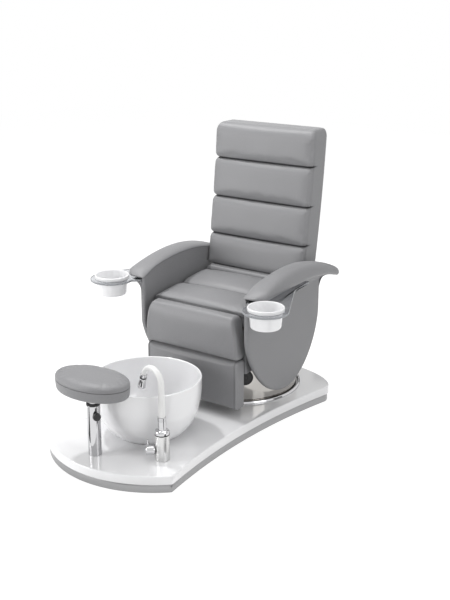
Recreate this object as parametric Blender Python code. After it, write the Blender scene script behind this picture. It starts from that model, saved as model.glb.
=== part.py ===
"""Podiatry chair: a swivelling, reclining chair on an hourglass platform with a foot basin.

Metres, +Z up. The origin is on the floor, under the axis on which the chair swivels.
The chair faces -Y, and +X is the side that carries the mixer.
"""
import math

import bmesh
import bpy
import numpy as np
from mathutils import Matrix, Vector

# Clearances
SEAT_GAP = 0.0003            # between pieces that rest on each other
RUNNING_GAP = 0.0006         # between pieces that turn or slide on each other
CUT_OVERRUN = 0.010          # how far a cutter runs past what it cuts

# Platform
PLINTH_HEIGHT = 0.040
SLAB_THICKNESS = 0.040
SLAB_EDGE_RADIUS = 0.007
FRONT_APEX_Y = -1.170
FRONT_CORNER_Y = -1.026
FRONT_HALF_WIDTH = 0.358
WAIST_Y = -0.605
WAIST_HALF_WIDTH = 0.330
REAR_CORNER_Y = 0.171
REAR_HALF_WIDTH = 0.425
REAR_APEX_Y = 0.355
SKIRT_RECESS = 0.006
SKIRT_WALL = 0.002
SKIRT_FLOOR_GAP = 0.001

# Swivel base
RING_WIDTH = 0.014
RING_HEIGHT = 0.013
DRUM_RADIUS = 0.300
DRUM_WALL = 0.003
DRUM_HEIGHT = 0.200
DRUM_FLOOR_GAP = 0.005
DRUM_LIP = 0.050
RING_TO_DRUM_GAP = 0.004
PLUG_RADIUS = 0.040
PLUG_HEIGHT = 0.133          # of the plug's centre, above the platform
PLUG_ANGLE = math.radians(-50.0)
PLUG_DEPTH = 0.016
PLUG_PROUD = 0.0015
PEDESTAL_FLANGE_RADIUS = 0.160
PEDESTAL_FLANGE_THICKNESS = 0.012
PEDESTAL_RADIUS = 0.060
BEARING_INNER_RADIUS = 0.045
BEARING_OUTER_RADIUS = 0.110
BEARING_RACE_HEIGHT = 0.012
TURNTABLE_THICKNESS = 0.010
BOLT_COUNT = 6
BOLT_CIRCLE_RADIUS = 0.130
BOLT_HEAD_RADIUS = 0.010
BOLT_HEAD_HEIGHT = 0.008

# Foot basin
BASIN_Y = -0.737
BASIN_RADIUS = 0.246
BASIN_HEIGHT = 0.270
BASIN_WALL = 0.009
BASIN_FLOOR = 0.014
BASIN_FOOT_RADIUS = 0.1465
BASIN_BULGE = 2.87           # power of the outline: 2 is an ellipse, more is a fuller bowl
WASTE_HOLE_RADIUS = 0.023
WASTE_FLANGE_RADIUS = 0.034
WASTE_FLANGE_HEIGHT = 0.004
WASTE_DISH_DEPTH = 0.002
WASTE_DISH_RADIUS = 0.0136
WASTE_BEVEL = 0.003

# Mixer and hand spray
MIXER_X = 0.228
MIXER_Y = -0.927
MIXER_RADIUS = 0.0325
MIXER_HEIGHT = 0.116
SEAL_HEIGHT = 0.004
COLLAR_HEIGHT = 0.022
SPOUT_RADIUS = 0.0180
SPOUT_HEIGHT = 0.055
NECK_RADIUS = 0.0108
NECK_FOOT_RADIUS = 0.0148     # where it leaves the spout
NECK_RISE = 0.148            # straight length above the spout
NECK_BEND_RADIUS = 0.058
NECK_END_ANGLE = math.radians(15.0)
NECK_HEADING = math.radians(168.0)
NECK_POINT_STEP = math.radians(11.0)
SPRAY_LENGTH = 0.066
SPRAY_COLLAR_RADIUS = 0.0145
SPRAY_FACE_RADIUS = 0.0185
SPRAY_COLLAR_LENGTH = 0.023
SPRAY_BEVEL = 0.0025
HANDLE_HEIGHT = 0.047        # of the handle's axis, above the platform
HANDLE_HEADING = math.radians(225.0)
HANDLE_RADIUS = 0.022
HANDLE_LENGTH = 0.040
PIN_RADIUS = 0.0045
PIN_LENGTH = 0.026
PIN_BEVEL = 0.0012

# Footrest
FOOTREST_X = -0.046
FOOTREST_Y = -1.052
COLUMN_RADIUS = 0.0295
COLUMN_WALL = 0.003
COLUMN_HEIGHT = 0.232
BUSH_HEIGHT = 0.009
BUSH_PROUD = 0.001
POST_RADIUS = 0.0215
POST_RISE = 0.046            # of the post above the bush, at rest
POST_DEPTH = 0.190           # of the post inside the column, at rest
PLATE_RADIUS = 0.060
PLATE_THICKNESS = 0.004
FOOT_BOARD_THICKNESS = 0.012
FOOT_BOARD_INSET = 0.030
FOOT_PAD_HALF_LENGTH = 0.186
FOOT_PAD_HALF_WIDTH = 0.118
FOOT_PAD_THICKNESS = 0.082
FOOT_PAD_SEAM = 0.048        # height of the widest line, above the pad's underside
FOOT_PAD_TAPER = 0.0020      # how far the pad draws in from that line to its underside
FOOT_PAD_FLAT = 0.0118       # half-width of the flat middle of the top
FOOT_PAD_CROWN_POWER = 4.0
KNOB_HEADING = math.radians(-30.0)
KNOB_DROP = 0.041            # of the knob's axis, below the column's top
KNOB_RADIUS = 0.0175
KNOB_THICKNESS = 0.016
KNOB_NECK_LENGTH = 0.006
SCREW_RADIUS = 0.004

# Seat
SEAT_HALF_WIDTH = 0.278
SEAT_NOSE = 0.011            # of the seat cushion, ahead of the carcass
SEAT_REAR_Y = 0.163
SEAT_REAR_TOP = 0.634
SEAT_FRONT_TOP = 0.586
SEAT_CREASES_Y = (-0.122, 0.088)
SEAT_UNDERSIDE = 0.515
SEAT_CROWN = 0.012
SEAT_CREASE_DEPTH = 0.016
SEAT_CREASE_DRAW = 0.004     # how far a crease draws in each side
SEAT_EDGE_RADIUS = 0.028
SEAT_BORDER = 0.020          # height at which the side turns under
SEAT_TUCK = 0.006            # how far the side turns under
SEAT_PUFF = 4.0
CARCASS_HALF_WIDTH = 0.262
CARCASS_OVERHANG = 0.030     # of the carcass, ahead of the drum
CARCASS_REAR_Y = 0.165
BOARD_THICKNESS = 0.018
BOARD_INSET = 0.010
LEG_HALF_WIDTH = 0.264
LEG_PAD_REACH = 0.078        # of the leg pad's front, ahead of the carcass
LEG_BOTTOM = 0.120
ROLL_BOTTOM = 0.3655
ROLL_TOP = 0.576
ROLL_REACH = 0.082           # of the knee roll's front, ahead of the carcass
LEG_CREASE = 0.005
ROLL_KNEE_RADIUS = 0.070
ROLL_FOOT_RADIUS = 0.034
ROLL_END_ROUND = 0.020
ROLL_TUCK = 0.026            # height of the joint with the seat, below the roll's top
LEG_EDGE_RADIUS = 0.020
LEG_END_ROUND = 0.012
LEG_BULGE = 0.005
PAD_STATIONS = (-1.0, -0.985, -0.95, -0.90, -0.45, 0.0, 0.45, 0.90, 0.95, 0.985, 1.0)

# Backrest
BACK_HALF_WIDTH = 0.284
BACK_BOTTOM = 0.640
BACK_TOP = 1.350
BACK_FRONT_Y = 0.121         # front face at the bottom
BACK_THICKNESS = 0.145
BACK_LEAN = math.radians(7.4)
BACK_SPANS = 6
BACK_SAG = 0.010             # how far the middle of the back lies behind the straight lean
BACK_CREASES_Z = (0.794, 0.985, 1.180)
BACK_CREASE_DEPTH = 0.021
BACK_CREASE_DRAW = 0.006     # how far a crease draws in each side
BACK_CROWN = 0.006
BACK_EDGE_RADIUS = 0.024
BACK_TOP_RADIUS = 0.045
BACK_TOP_SIDE_SHARE = 0.25   # of the top's round that the sides take
BACK_TOP_REAR_SHARE = 0.8    # of the top's round that the rear takes
BACK_PUFF = 5.0
BACK_POCKET_DEPTH = 0.052
BACK_POCKET_TOP_MARGIN = 0.050
BACK_POCKET_SIDE_MARGIN = 0.034
BACK_COVER_PROUD = 0.003
STRAP_THICKNESS = 0.008
STRAP_WIDTH = 0.040
STRAP_RISE = 0.110           # of each strap above the backrest's underside
STRAP_X = 0.180
HINGE_DROP = 0.055           # of the hinge axis below the backrest's underside
SHAFT_RADIUS = 0.012
EYE_RADIUS = 0.021
EAR_THICKNESS = 0.008
EAR_HEIGHT = 0.070
CRANK_LENGTH = 0.128
CRANK_THICKNESS = 0.014
CRANK_WIDTH = 0.030
ACTUATOR_RADIUS = 0.022
ACTUATOR_LENGTH = 0.260
ROD_RADIUS = 0.009
ROD_HIDDEN_LENGTH = 0.110
REAR_NOTCH_HALF_WIDTH = 0.034
REAR_NOTCH_DEPTH = 0.080

# Arms
ARM_INNER_X = 0.2875
ARM_THICKNESS = 0.027
ARM_BOTTOM = 0.127
ARM_WIDEST = 0.460           # height above which the panel's edges stand upright
ARM_TIP_Y = -0.045
ARM_FRONT_Y = -0.392
ARM_REAR_Y = 0.265
ARM_EDGE_RADIUS = 0.0097
ARM_TIP_FLAT = 0.0015        # how far above the tip the lowest section lies
PETAL_FRONT_POWER = 1.4
PETAL_REAR_POWER = 1.7
FLARE_HEIGHT = 0.075         # of the flare, below the shoulder's peak
FLARE_OUT = 0.074
FLARE_BACK = 0.070
SHOULDER_PEAK_Y = 0.0
SHOULDER_FRONT_DROP = 0.013
SHOULDER_REAR_DROP = 0.058
ARM_PAD_OUTER_X = 0.401
ARM_PAD_NOSE = 0.008         # of the pad's front, ahead of the panel
ARM_PAD_TAIL = 0.008         # of the pad's tip, behind the panel's flare
ARM_PAD_PEAK = 0.762
ARM_PAD_THICKNESS = 0.080    # of the pad at its peak, down to the shoulder's peak
ARM_PAD_PEAK_Y = -0.060
ARM_PAD_FRONT_DROP = 0.062
ARM_PAD_REAR_DROP = 0.100
ARM_PAD_SEAM = 0.70          # inner seam, as a share of the pad's height
ARM_PAD_CROWN_SHARE = 0.62   # where the crown lies between the inner and outer edges
ARM_PAD_UNDERCUT = 0.006
ARM_NOSE_LENGTH = 0.050
ARM_NOSE_RISE = 0.019
ARM_TAIL_LENGTH = 0.050
ARM_TIP_SHARE = 0.50         # of the pad's full height left at its blunt ends
ARM_TIP_WIDTH = 0.10         # of the pad's outer half left there, clear of the cup's way up
ARM_PAD_STATIONS = (0.0, 0.006, 0.02, 0.05, 0.10, 0.18, 0.28, 0.38, 0.48, 0.53, 0.58, 0.63, 0.68, 0.73, 0.78,
                    0.825, 0.87, 0.93, 0.97, 0.992, 1.0)
ARM_TAIL_DRAW = 0.030        # how far the inner edge draws out at the tip

# Trays and cups
TRAY_X = 0.443
TRAY_Y = -0.448
TRAY_RADIUS = 0.105
TRAY_THICKNESS = 0.010
TRAY_DROP = 0.0267           # of the tray's underside, below the shoulder's peak
TONGUE_REAR_Y = 0.040
TONGUE_NECK_Y = -0.095
TONGUE_INNER_X = 0.303
TONGUE_OUTER_X = 0.383
CUP_LIP_RADIUS = 0.084
CUP_LIP_HEIGHT = 0.017
CUP_NECK_RADIUS = 0.0765
CUP_BASE_RADIUS = 0.071
CUP_DEPTH = 0.082            # below the tray's top
CUP_WALL = 0.004
CUP_HOLE_GAP = 0.0010
CUP_BASE_ROUND = 0.012
TRAY_ARC = (168.0, 375.0)    # of the ring plate's edge, outside the tongue

# Facets round a full turn
FINE_TURN = 56
TURN = 32
SMALL_TURN = 24
TINY_TURN = 12
OVAL_TURN = 48

# Levels and joint axes that follow from the sizes above
SLAB_TOP = PLINTH_HEIGHT + SEAT_GAP + SLAB_THICKNESS
ON_SLAB = SLAB_TOP + SEAT_GAP
DRUM_TOP = SLAB_TOP + DRUM_HEIGHT
TURNTABLE_TOP = DRUM_TOP - DRUM_WALL - SEAT_GAP
CARCASS_BOTTOM = DRUM_TOP + SEAT_GAP
SEAT_BOARD_BOTTOM = SEAT_UNDERSIDE - SEAT_GAP - BOARD_THICKNESS
CARCASS_TOP = SEAT_BOARD_BOTTOM - SEAT_GAP
RING_OUTER_RADIUS = DRUM_RADIUS + RING_TO_DRUM_GAP + RING_WIDTH
CARCASS_FRONT_Y = -(DRUM_RADIUS + CARCASS_OVERHANG)
SEAT_FRONT_Y = CARCASS_FRONT_Y - SEAT_NOSE
LEG_FRONT_Y = CARCASS_FRONT_Y - LEG_PAD_REACH
ROLL_FRONT_Y = CARCASS_FRONT_Y - ROLL_REACH
FRONT_BOARD_REAR_Y = CARCASS_FRONT_Y - SEAT_GAP
FRONT_PAD_REAR_Y = FRONT_BOARD_REAR_Y - BOARD_THICKNESS - SEAT_GAP
BASIN_RIM = ON_SLAB + BASIN_HEIGHT
BASIN_FLOOR_TOP = ON_SLAB + BASIN_FLOOR
MIXER_TOP = ON_SLAB + MIXER_HEIGHT
SEAL_TOP = MIXER_TOP + SEAT_GAP + SEAL_HEIGHT
SPOUT_TOP = SEAL_TOP + SEAT_GAP + COLLAR_HEIGHT + SPOUT_HEIGHT
COLUMN_TOP = ON_SLAB + COLUMN_HEIGHT
BUSH_TOP = COLUMN_TOP + SEAT_GAP + BUSH_HEIGHT
POST_TOP = BUSH_TOP + POST_RISE
PLATE_TOP = POST_TOP + SEAT_GAP + PLATE_THICKNESS
FOOT_BOARD_TOP = PLATE_TOP + SEAT_GAP + FOOT_BOARD_THICKNESS
HINGE_Z = BACK_BOTTOM - HINGE_DROP
SHOULDER_PEAK = ARM_PAD_PEAK - ARM_PAD_THICKNESS
FLARE_START = SHOULDER_PEAK - FLARE_HEIGHT
TRAY_UNDERSIDE = SHOULDER_PEAK - TRAY_DROP
TRAY_TOP = TRAY_UNDERSIDE + TRAY_THICKNESS
CUP_RIM = TRAY_TOP + SEAT_GAP + CUP_LIP_HEIGHT

# Finishes: colour, roughness, metallic
LEATHER = ((0.27, 0.27, 0.28), 0.45, 0.0)
WHITE = ((0.86, 0.86, 0.88), 0.12, 0.0)
STEEL = ((0.62, 0.62, 0.63), 0.28, 1.0)
CHROME = ((0.80, 0.80, 0.82), 0.06, 1.0)
PAINTED = ((0.06, 0.06, 0.065), 0.50, 0.0)
RUBBER = ((0.015, 0.015, 0.015), 0.55, 0.0)
PLY = ((0.55, 0.40, 0.25), 0.60, 0.0)
ACRYLIC = ((0.85, 0.88, 0.90), 0.05, 0.0)


def clear_scene():
    """Remove every object that the open file holds."""
    for old in list(bpy.data.objects):
        bpy.data.objects.remove(old, do_unlink=True)


def make_axis(name, position):
    """An empty that stands on a joint's axis and carries what moves on it."""
    axis = bpy.data.objects.new(name, None)
    axis.location = position
    bpy.context.scene.collection.objects.link(axis)
    return axis


def make_material(name, finish):
    """A Principled BSDF with the piece's colour, roughness and metallic value."""
    colour, roughness, metallic = finish
    material = bpy.data.materials.new(name)
    material.use_nodes = True
    shader = material.node_tree.nodes["Principled BSDF"]
    shader.inputs["Base Color"].default_value = (*colour, 1.0)
    shader.inputs["Roughness"].default_value = roughness
    shader.inputs["Metallic"].default_value = metallic
    return material


def make_piece(name, shape, finish, axis=None, smooth=True):
    """Turn a bmesh in world coordinates into a named object, with its origin on its axis."""
    bmesh.ops.remove_doubles(shape, verts=shape.verts, dist=1e-6)
    bmesh.ops.recalc_face_normals(shape, faces=shape.faces)
    mesh = bpy.data.meshes.new(name)
    shape.to_mesh(mesh)
    shape.free()
    piece = bpy.data.objects.new(name, mesh)
    bpy.context.scene.collection.objects.link(piece)
    if axis is not None:
        mesh.transform(Matrix.Translation(-axis.location))
        piece.parent = axis
    if smooth:
        mesh.shade_smooth()
        mesh.set_sharp_from_angle(angle=math.radians(35.0))
    mesh.materials.append(make_material(name, finish))
    return piece


def cut(piece, name, shape):
    """Take a shape out of a piece with a Boolean modifier."""
    cutter = make_piece(name, shape, PAINTED, smooth=False)
    cutter.hide_render = True
    cutter.display_type = "WIRE"
    modifier = piece.modifiers.new(name, "BOOLEAN")
    modifier.operation = "DIFFERENCE"
    modifier.solver = "EXACT"
    modifier.object = cutter


def add_loop(shape, points):
    """Add one ring of vertices."""
    return [shape.verts.new(point) for point in points]


def bridge(shape, lower, upper):
    """Join two rings of equal count with quads."""
    count = len(lower)
    for here in range(count):
        after = (here + 1) % count
        shape.faces.new((lower[here], lower[after], upper[after], upper[here]))


def cap(shape, ring):
    """Close a bent ring with quads between its two rails, which meet at its first and last points."""
    last = len(ring) - 1
    for here in range(len(ring) // 2 - 1):
        shape.faces.new((ring[here], ring[here + 1], ring[last - here - 1], ring[last - here]))


def loft(loops, closed_ends=True, bent_ends=False):
    """A solid through rings of equal count; without closed ends, the last ring joins the first."""
    shape = bmesh.new()
    rings = [add_loop(shape, points) for points in loops]
    for lower, upper in zip(rings, rings[1:]):
        bridge(shape, lower, upper)
    if bent_ends:
        cap(shape, rings[0])
        cap(shape, rings[-1])
    elif closed_ends:
        shape.faces.new(rings[0])
        shape.faces.new(rings[-1])
    else:
        bridge(shape, rings[-1], rings[0])
    return shape


def turned(profile, count, place=Matrix.Identity(4)):
    """A solid of revolution about local Z from a closed outline of (radius, height) points."""
    shape = bmesh.new()
    rings = []
    for radius, height in profile:
        if radius == 0.0:
            rings.append([shape.verts.new(place @ Vector((0.0, 0.0, height)))])
            continue
        angles = [2.0 * math.pi * step / count for step in range(count)]
        ring = [Vector((radius * math.cos(a), radius * math.sin(a), height)) for a in angles]
        rings.append(add_loop(shape, [place @ point for point in ring]))
    for first, second in zip(rings, rings[1:] + rings[:1]):
        if len(first) == 1 and len(second) == 1:
            continue
        if len(first) == 1 or len(second) == 1:
            pole, ring = (first[0], second) if len(first) == 1 else (second[0], first)
            for here in range(count):
                shape.faces.new((pole, ring[here], ring[(here + 1) % count]))
        else:
            bridge(shape, first, second)
    return shape


def prism(outline, direction, start, end):
    """A plane outline of three-dimensional points, carried along a direction."""
    direction = Vector(direction)
    loops = [[Vector(p) + direction * offset for p in outline] for offset in (start, end)]
    return loft(loops)


def box(low, high):
    """A rectangular block between two corners."""
    outline = [(low[0], low[1], 0), (high[0], low[1], 0), (high[0], high[1], 0), (low[0], high[1], 0)]
    return prism(outline, (0, 0, 1), low[2], high[2])


def along(heading, origin):
    """Place local Z along a level heading, with local X up."""
    direction = Vector((math.cos(heading), math.sin(heading), 0.0))
    side = Vector((0.0, 0.0, 1.0)).cross(direction)
    frame = Matrix((Vector((0, 0, 1)), side, direction)).transposed().to_4x4()
    frame.translation = Vector(origin)
    return frame


def standing(x, y):
    """Place local Z upright on a point of the floor."""
    return Matrix.Translation((x, y, 0.0))


def arc(centre, radius, start, end, steps):
    """Points of a circular arc in a plane, from one angle to another in degrees."""
    angles = np.radians(np.linspace(start, end, steps + 1))
    return [(centre[0] + radius * math.cos(a), centre[1] + radius * math.sin(a)) for a in angles]


def offset_outline(points, inset):
    """Move each edge of an anticlockwise outline inwards by the same distance."""
    points = np.asarray(points, float)
    edge = np.roll(points, -1, axis=0) - points
    edge /= np.linalg.norm(edge, axis=1)[:, None]
    inward = np.stack([-edge[:, 1], edge[:, 0]], axis=1)
    before = np.roll(inward, 1, axis=0)
    bisector = inward + before
    bisector /= np.sum(bisector * inward, axis=1)[:, None]
    return points + inset * bisector


def platform_outline(inset=0.0):
    """Hourglass plan: a round front, sides drawn in to a waist and an elliptical rear."""
    sagitta = FRONT_CORNER_Y - FRONT_APEX_Y
    front_radius = (FRONT_HALF_WIDTH ** 2 + sagitta ** 2) / (2.0 * sagitta)
    half_angle = math.degrees(math.asin(FRONT_HALF_WIDTH / front_radius))
    centre = (0.0, FRONT_APEX_Y + front_radius)
    front = arc(centre, front_radius, 270.0 - half_angle, 270.0 + half_angle, 14)
    side = []
    for y in np.linspace(FRONT_CORNER_Y, REAR_CORNER_Y, 13)[1:-1]:
        ahead = y < WAIST_Y
        end_y = FRONT_CORNER_Y if ahead else REAR_CORNER_Y
        end_width = FRONT_HALF_WIDTH if ahead else REAR_HALF_WIDTH
        share = (y - WAIST_Y) / (end_y - WAIST_Y)
        side.append((WAIST_HALF_WIDTH + (end_width - WAIST_HALF_WIDTH) * share ** 2, y))
    rear = []
    for angle in np.linspace(0.0, math.pi, 21):
        rear_depth = REAR_APEX_Y - REAR_CORNER_Y
        rear.append((REAR_HALF_WIDTH * math.cos(angle), REAR_CORNER_Y + rear_depth * math.sin(angle)))
    other_side = [(-x, y) for x, y in reversed(side)]
    return offset_outline(front + side + rear + other_side, inset)


def at_height(outline, z):
    """Lift a plan outline to a height."""
    return [Vector((x, y, z)) for x, y in outline]


def make_platform():
    """Core board, steel skirt round it, and the white slab on top."""
    core_inset = SKIRT_RECESS + SKIRT_WALL + SEAT_GAP
    core = platform_outline(core_inset)
    make_piece("base_core", loft([at_height(core, 0.0), at_height(core, PLINTH_HEIGHT)]), PLY)
    outer = platform_outline(SKIRT_RECESS)
    inner = platform_outline(SKIRT_RECESS + SKIRT_WALL)
    levels = (SKIRT_FLOOR_GAP, PLINTH_HEIGHT)
    band = [at_height(outer, levels[0]), at_height(outer, levels[1])]
    band += [at_height(inner, levels[1]), at_height(inner, levels[0])]
    make_piece("plinth_skirt", loft(band, closed_ends=False), STEEL)
    loops = [at_height(platform_outline(), PLINTH_HEIGHT + SEAT_GAP)]
    for angle in np.radians((0.0, 30.0, 60.0, 90.0)):
        drawn_in = SLAB_EDGE_RADIUS * (1.0 - math.cos(angle))
        height = SLAB_TOP - SLAB_EDGE_RADIUS * (1.0 - math.sin(angle))
        loops.append(at_height(platform_outline(drawn_in), height))
    make_piece("platform_slab", loft(loops), WHITE)


def ring_profile(inner, outer, bottom, top, chamfer):
    """Closed outline of a ring with chamfered corners, down the outer side first."""
    return [(inner + chamfer, top), (outer - chamfer, top), (outer, top - chamfer),
            (outer, bottom + chamfer), (outer - chamfer, bottom), (inner + chamfer, bottom),
            (inner, bottom + chamfer), (inner, top - chamfer)]


def make_swivel_base(chair):
    """Fixed ring, pedestal and lower race; drum, upper race and turntable that turn."""
    ring_inner = DRUM_RADIUS + RING_TO_DRUM_GAP
    middle = (RING_OUTER_RADIUS + ring_inner) / 2.0
    half = (RING_OUTER_RADIUS - ring_inner) / 2.0
    dome = arc((0.0, 0.0), 1.0, 180.0, 0.0, 4)
    wall_height = RING_HEIGHT - half
    profile = [(middle + half * c, ON_SLAB + wall_height + half * s) for c, s in dome]
    profile += [(RING_OUTER_RADIUS, ON_SLAB), (ring_inner, ON_SLAB)]
    make_piece("base_ring", turned(profile, FINE_TURN), CHROME)

    race_top = TURNTABLE_TOP - TURNTABLE_THICKNESS - SEAT_GAP
    upper_bottom = race_top - BEARING_RACE_HEIGHT
    lower_top = upper_bottom - RUNNING_GAP
    lower_bottom = lower_top - BEARING_RACE_HEIGHT
    chamfer = BEARING_RACE_HEIGHT / 8.0
    lower = ring_profile(BEARING_INNER_RADIUS, BEARING_OUTER_RADIUS, lower_bottom, lower_top, chamfer)
    make_piece("bearing_lower_race", turned(lower, TURN), STEEL)
    upper = ring_profile(BEARING_INNER_RADIUS, BEARING_OUTER_RADIUS, upper_bottom, race_top, chamfer)
    make_piece("bearing_upper_race", turned(upper, TURN), STEEL, chair)

    flange_top = ON_SLAB + PEDESTAL_FLANGE_THICKNESS
    head_top = lower_bottom - SEAT_GAP
    head_bottom = head_top - PEDESTAL_FLANGE_THICKNESS
    profile = [(0.0, head_top), (BEARING_OUTER_RADIUS, head_top), (BEARING_OUTER_RADIUS, head_bottom),
               (PEDESTAL_RADIUS, head_bottom), (PEDESTAL_RADIUS, flange_top),
               (PEDESTAL_FLANGE_RADIUS, flange_top), (PEDESTAL_FLANGE_RADIUS, ON_SLAB), (0.0, ON_SLAB)]
    make_piece("pedestal", turned(profile, TURN), PAINTED)
    for step in range(BOLT_COUNT):
        angle = 2.0 * math.pi * step / BOLT_COUNT
        x = BOLT_CIRCLE_RADIUS * math.cos(angle)
        y = BOLT_CIRCLE_RADIUS * math.sin(angle)
        z = flange_top + SEAT_GAP + BOLT_HEAD_HEIGHT / 2.0
        bolt = bmesh.new()
        bmesh.ops.create_cone(bolt, cap_ends=True, segments=6, radius1=BOLT_HEAD_RADIUS,
                              radius2=BOLT_HEAD_RADIUS, depth=BOLT_HEAD_HEIGHT,
                              matrix=Matrix.Translation((x, y, z)))
        make_piece("pedestal_bolt_%d" % (step + 1), bolt, STEEL, smooth=False)

    plate_radius = DRUM_RADIUS - DRUM_WALL - SEAT_GAP
    plate_bottom = TURNTABLE_TOP - TURNTABLE_THICKNESS
    profile = [(0.0, TURNTABLE_TOP), (plate_radius, TURNTABLE_TOP), (plate_radius, plate_bottom),
               (0.0, plate_bottom)]
    make_piece("turntable_plate", turned(profile, FINE_TURN), PAINTED, chair)

    skirt_inner = DRUM_RADIUS - DRUM_WALL
    lip_inner = DRUM_RADIUS - DRUM_LIP
    drum_bottom = SLAB_TOP + DRUM_FLOOR_GAP
    shell = [(lip_inner, DRUM_TOP), (DRUM_RADIUS - DRUM_WALL, DRUM_TOP), (DRUM_RADIUS, DRUM_TOP - DRUM_WALL),
             (DRUM_RADIUS, drum_bottom), (skirt_inner, drum_bottom), (skirt_inner, DRUM_TOP - DRUM_WALL),
             (lip_inner, DRUM_TOP - DRUM_WALL)]
    drum = make_piece("base_drum", turned(shell, FINE_TURN), CHROME, chair)
    centre = (0.0, 0.0, SLAB_TOP + PLUG_HEIGHT)
    hole = [(0.0, DRUM_RADIUS + DRUM_LIP), (PLUG_RADIUS, DRUM_RADIUS + DRUM_LIP),
            (PLUG_RADIUS, DRUM_RADIUS - DRUM_LIP), (0.0, DRUM_RADIUS - DRUM_LIP)]
    cut(drum, "drum_plug_hole", turned(hole, SMALL_TURN, along(PLUG_ANGLE, centre)))
    plug_radius = PLUG_RADIUS - SEAT_GAP
    face = DRUM_RADIUS + PLUG_PROUD
    plug = [(0.0, face), (plug_radius - PLUG_PROUD, face), (plug_radius, face - PLUG_PROUD),
            (plug_radius, face - PLUG_DEPTH), (0.0, face - PLUG_DEPTH)]
    make_piece("drum_plug", turned(plug, SMALL_TURN, along(PLUG_ANGLE, centre)), RUBBER, chair)


def basin_radius(z, inset=0.0):
    """Outline of the bowl: a superellipse from the rim down to the foot."""
    rim = BASIN_RADIUS - inset
    foot_share = (BASIN_FOOT_RADIUS / BASIN_RADIUS) ** 2
    full_depth = BASIN_HEIGHT / (1.0 - foot_share) ** (1.0 / BASIN_BULGE) - inset
    depth = (BASIN_RIM - z) / full_depth
    return rim * math.sqrt(max(0.0, 1.0 - depth ** BASIN_BULGE))


def make_basin():
    """White foot basin with a round rim, and the waste fitting in its floor."""
    shares = np.sin(np.radians(np.linspace(90.0, 0.0, 8)))
    lip = BASIN_WALL / 2.0
    outer = [(basin_radius(z), z) for z in BASIN_RIM - lip - (BASIN_HEIGHT - lip) * (1.0 - shares)]
    inner_depth = BASIN_RIM - BASIN_FLOOR_TOP - lip
    inner = [(basin_radius(z, BASIN_WALL), z) for z in BASIN_RIM - lip - inner_depth * (1.0 - shares)]
    rim_middle = (outer[0][0] + inner[0][0]) / 2.0
    rim_half = (outer[0][0] - inner[0][0]) / 2.0
    rim = [(rim_middle + rim_half * c, BASIN_RIM - lip + lip * s)
           for c, s in arc((0.0, 0.0), 1.0, 180.0, 0.0, 4)[1:-1]]
    hole = [(WASTE_HOLE_RADIUS, ON_SLAB), (WASTE_HOLE_RADIUS, BASIN_FLOOR_TOP)]
    profile = rim + outer + hole + list(reversed(inner))
    make_piece("foot_basin", turned(profile, FINE_TURN, standing(0.0, BASIN_Y)), WHITE)

    flange_bottom = BASIN_FLOOR_TOP + SEAT_GAP
    flange_top = flange_bottom + WASTE_FLANGE_HEIGHT
    tail = WASTE_HOLE_RADIUS - SEAT_GAP
    dish = flange_top - WASTE_DISH_DEPTH
    profile = [(0.0, dish), (WASTE_DISH_RADIUS, dish), (tail, flange_top),
               (WASTE_FLANGE_RADIUS - WASTE_BEVEL, flange_top), (WASTE_FLANGE_RADIUS, flange_bottom),
               (tail, flange_bottom), (tail, ON_SLAB), (0.0, ON_SLAB)]
    make_piece("basin_waste", turned(profile, SMALL_TURN, standing(0.0, BASIN_Y)), CHROME)


def neck_path():
    """Centre line of the gooseneck: straight up, then over in one bend."""
    reach = np.array([math.cos(NECK_HEADING), math.sin(NECK_HEADING)])
    start = SPOUT_TOP + RUNNING_GAP
    bend_z = SPOUT_TOP + NECK_RISE
    rise = [(0.0, z) for z in np.linspace(start, bend_z, 6)[:-1]]
    steps = round((math.pi - NECK_END_ANGLE) / NECK_POINT_STEP)
    bend = arc((NECK_BEND_RADIUS, bend_z), NECK_BEND_RADIUS, 180.0, math.degrees(NECK_END_ANGLE), steps)
    return [Vector((MIXER_X + s * reach[0], MIXER_Y + s * reach[1], z)) for s, z in rise + bend]


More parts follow.
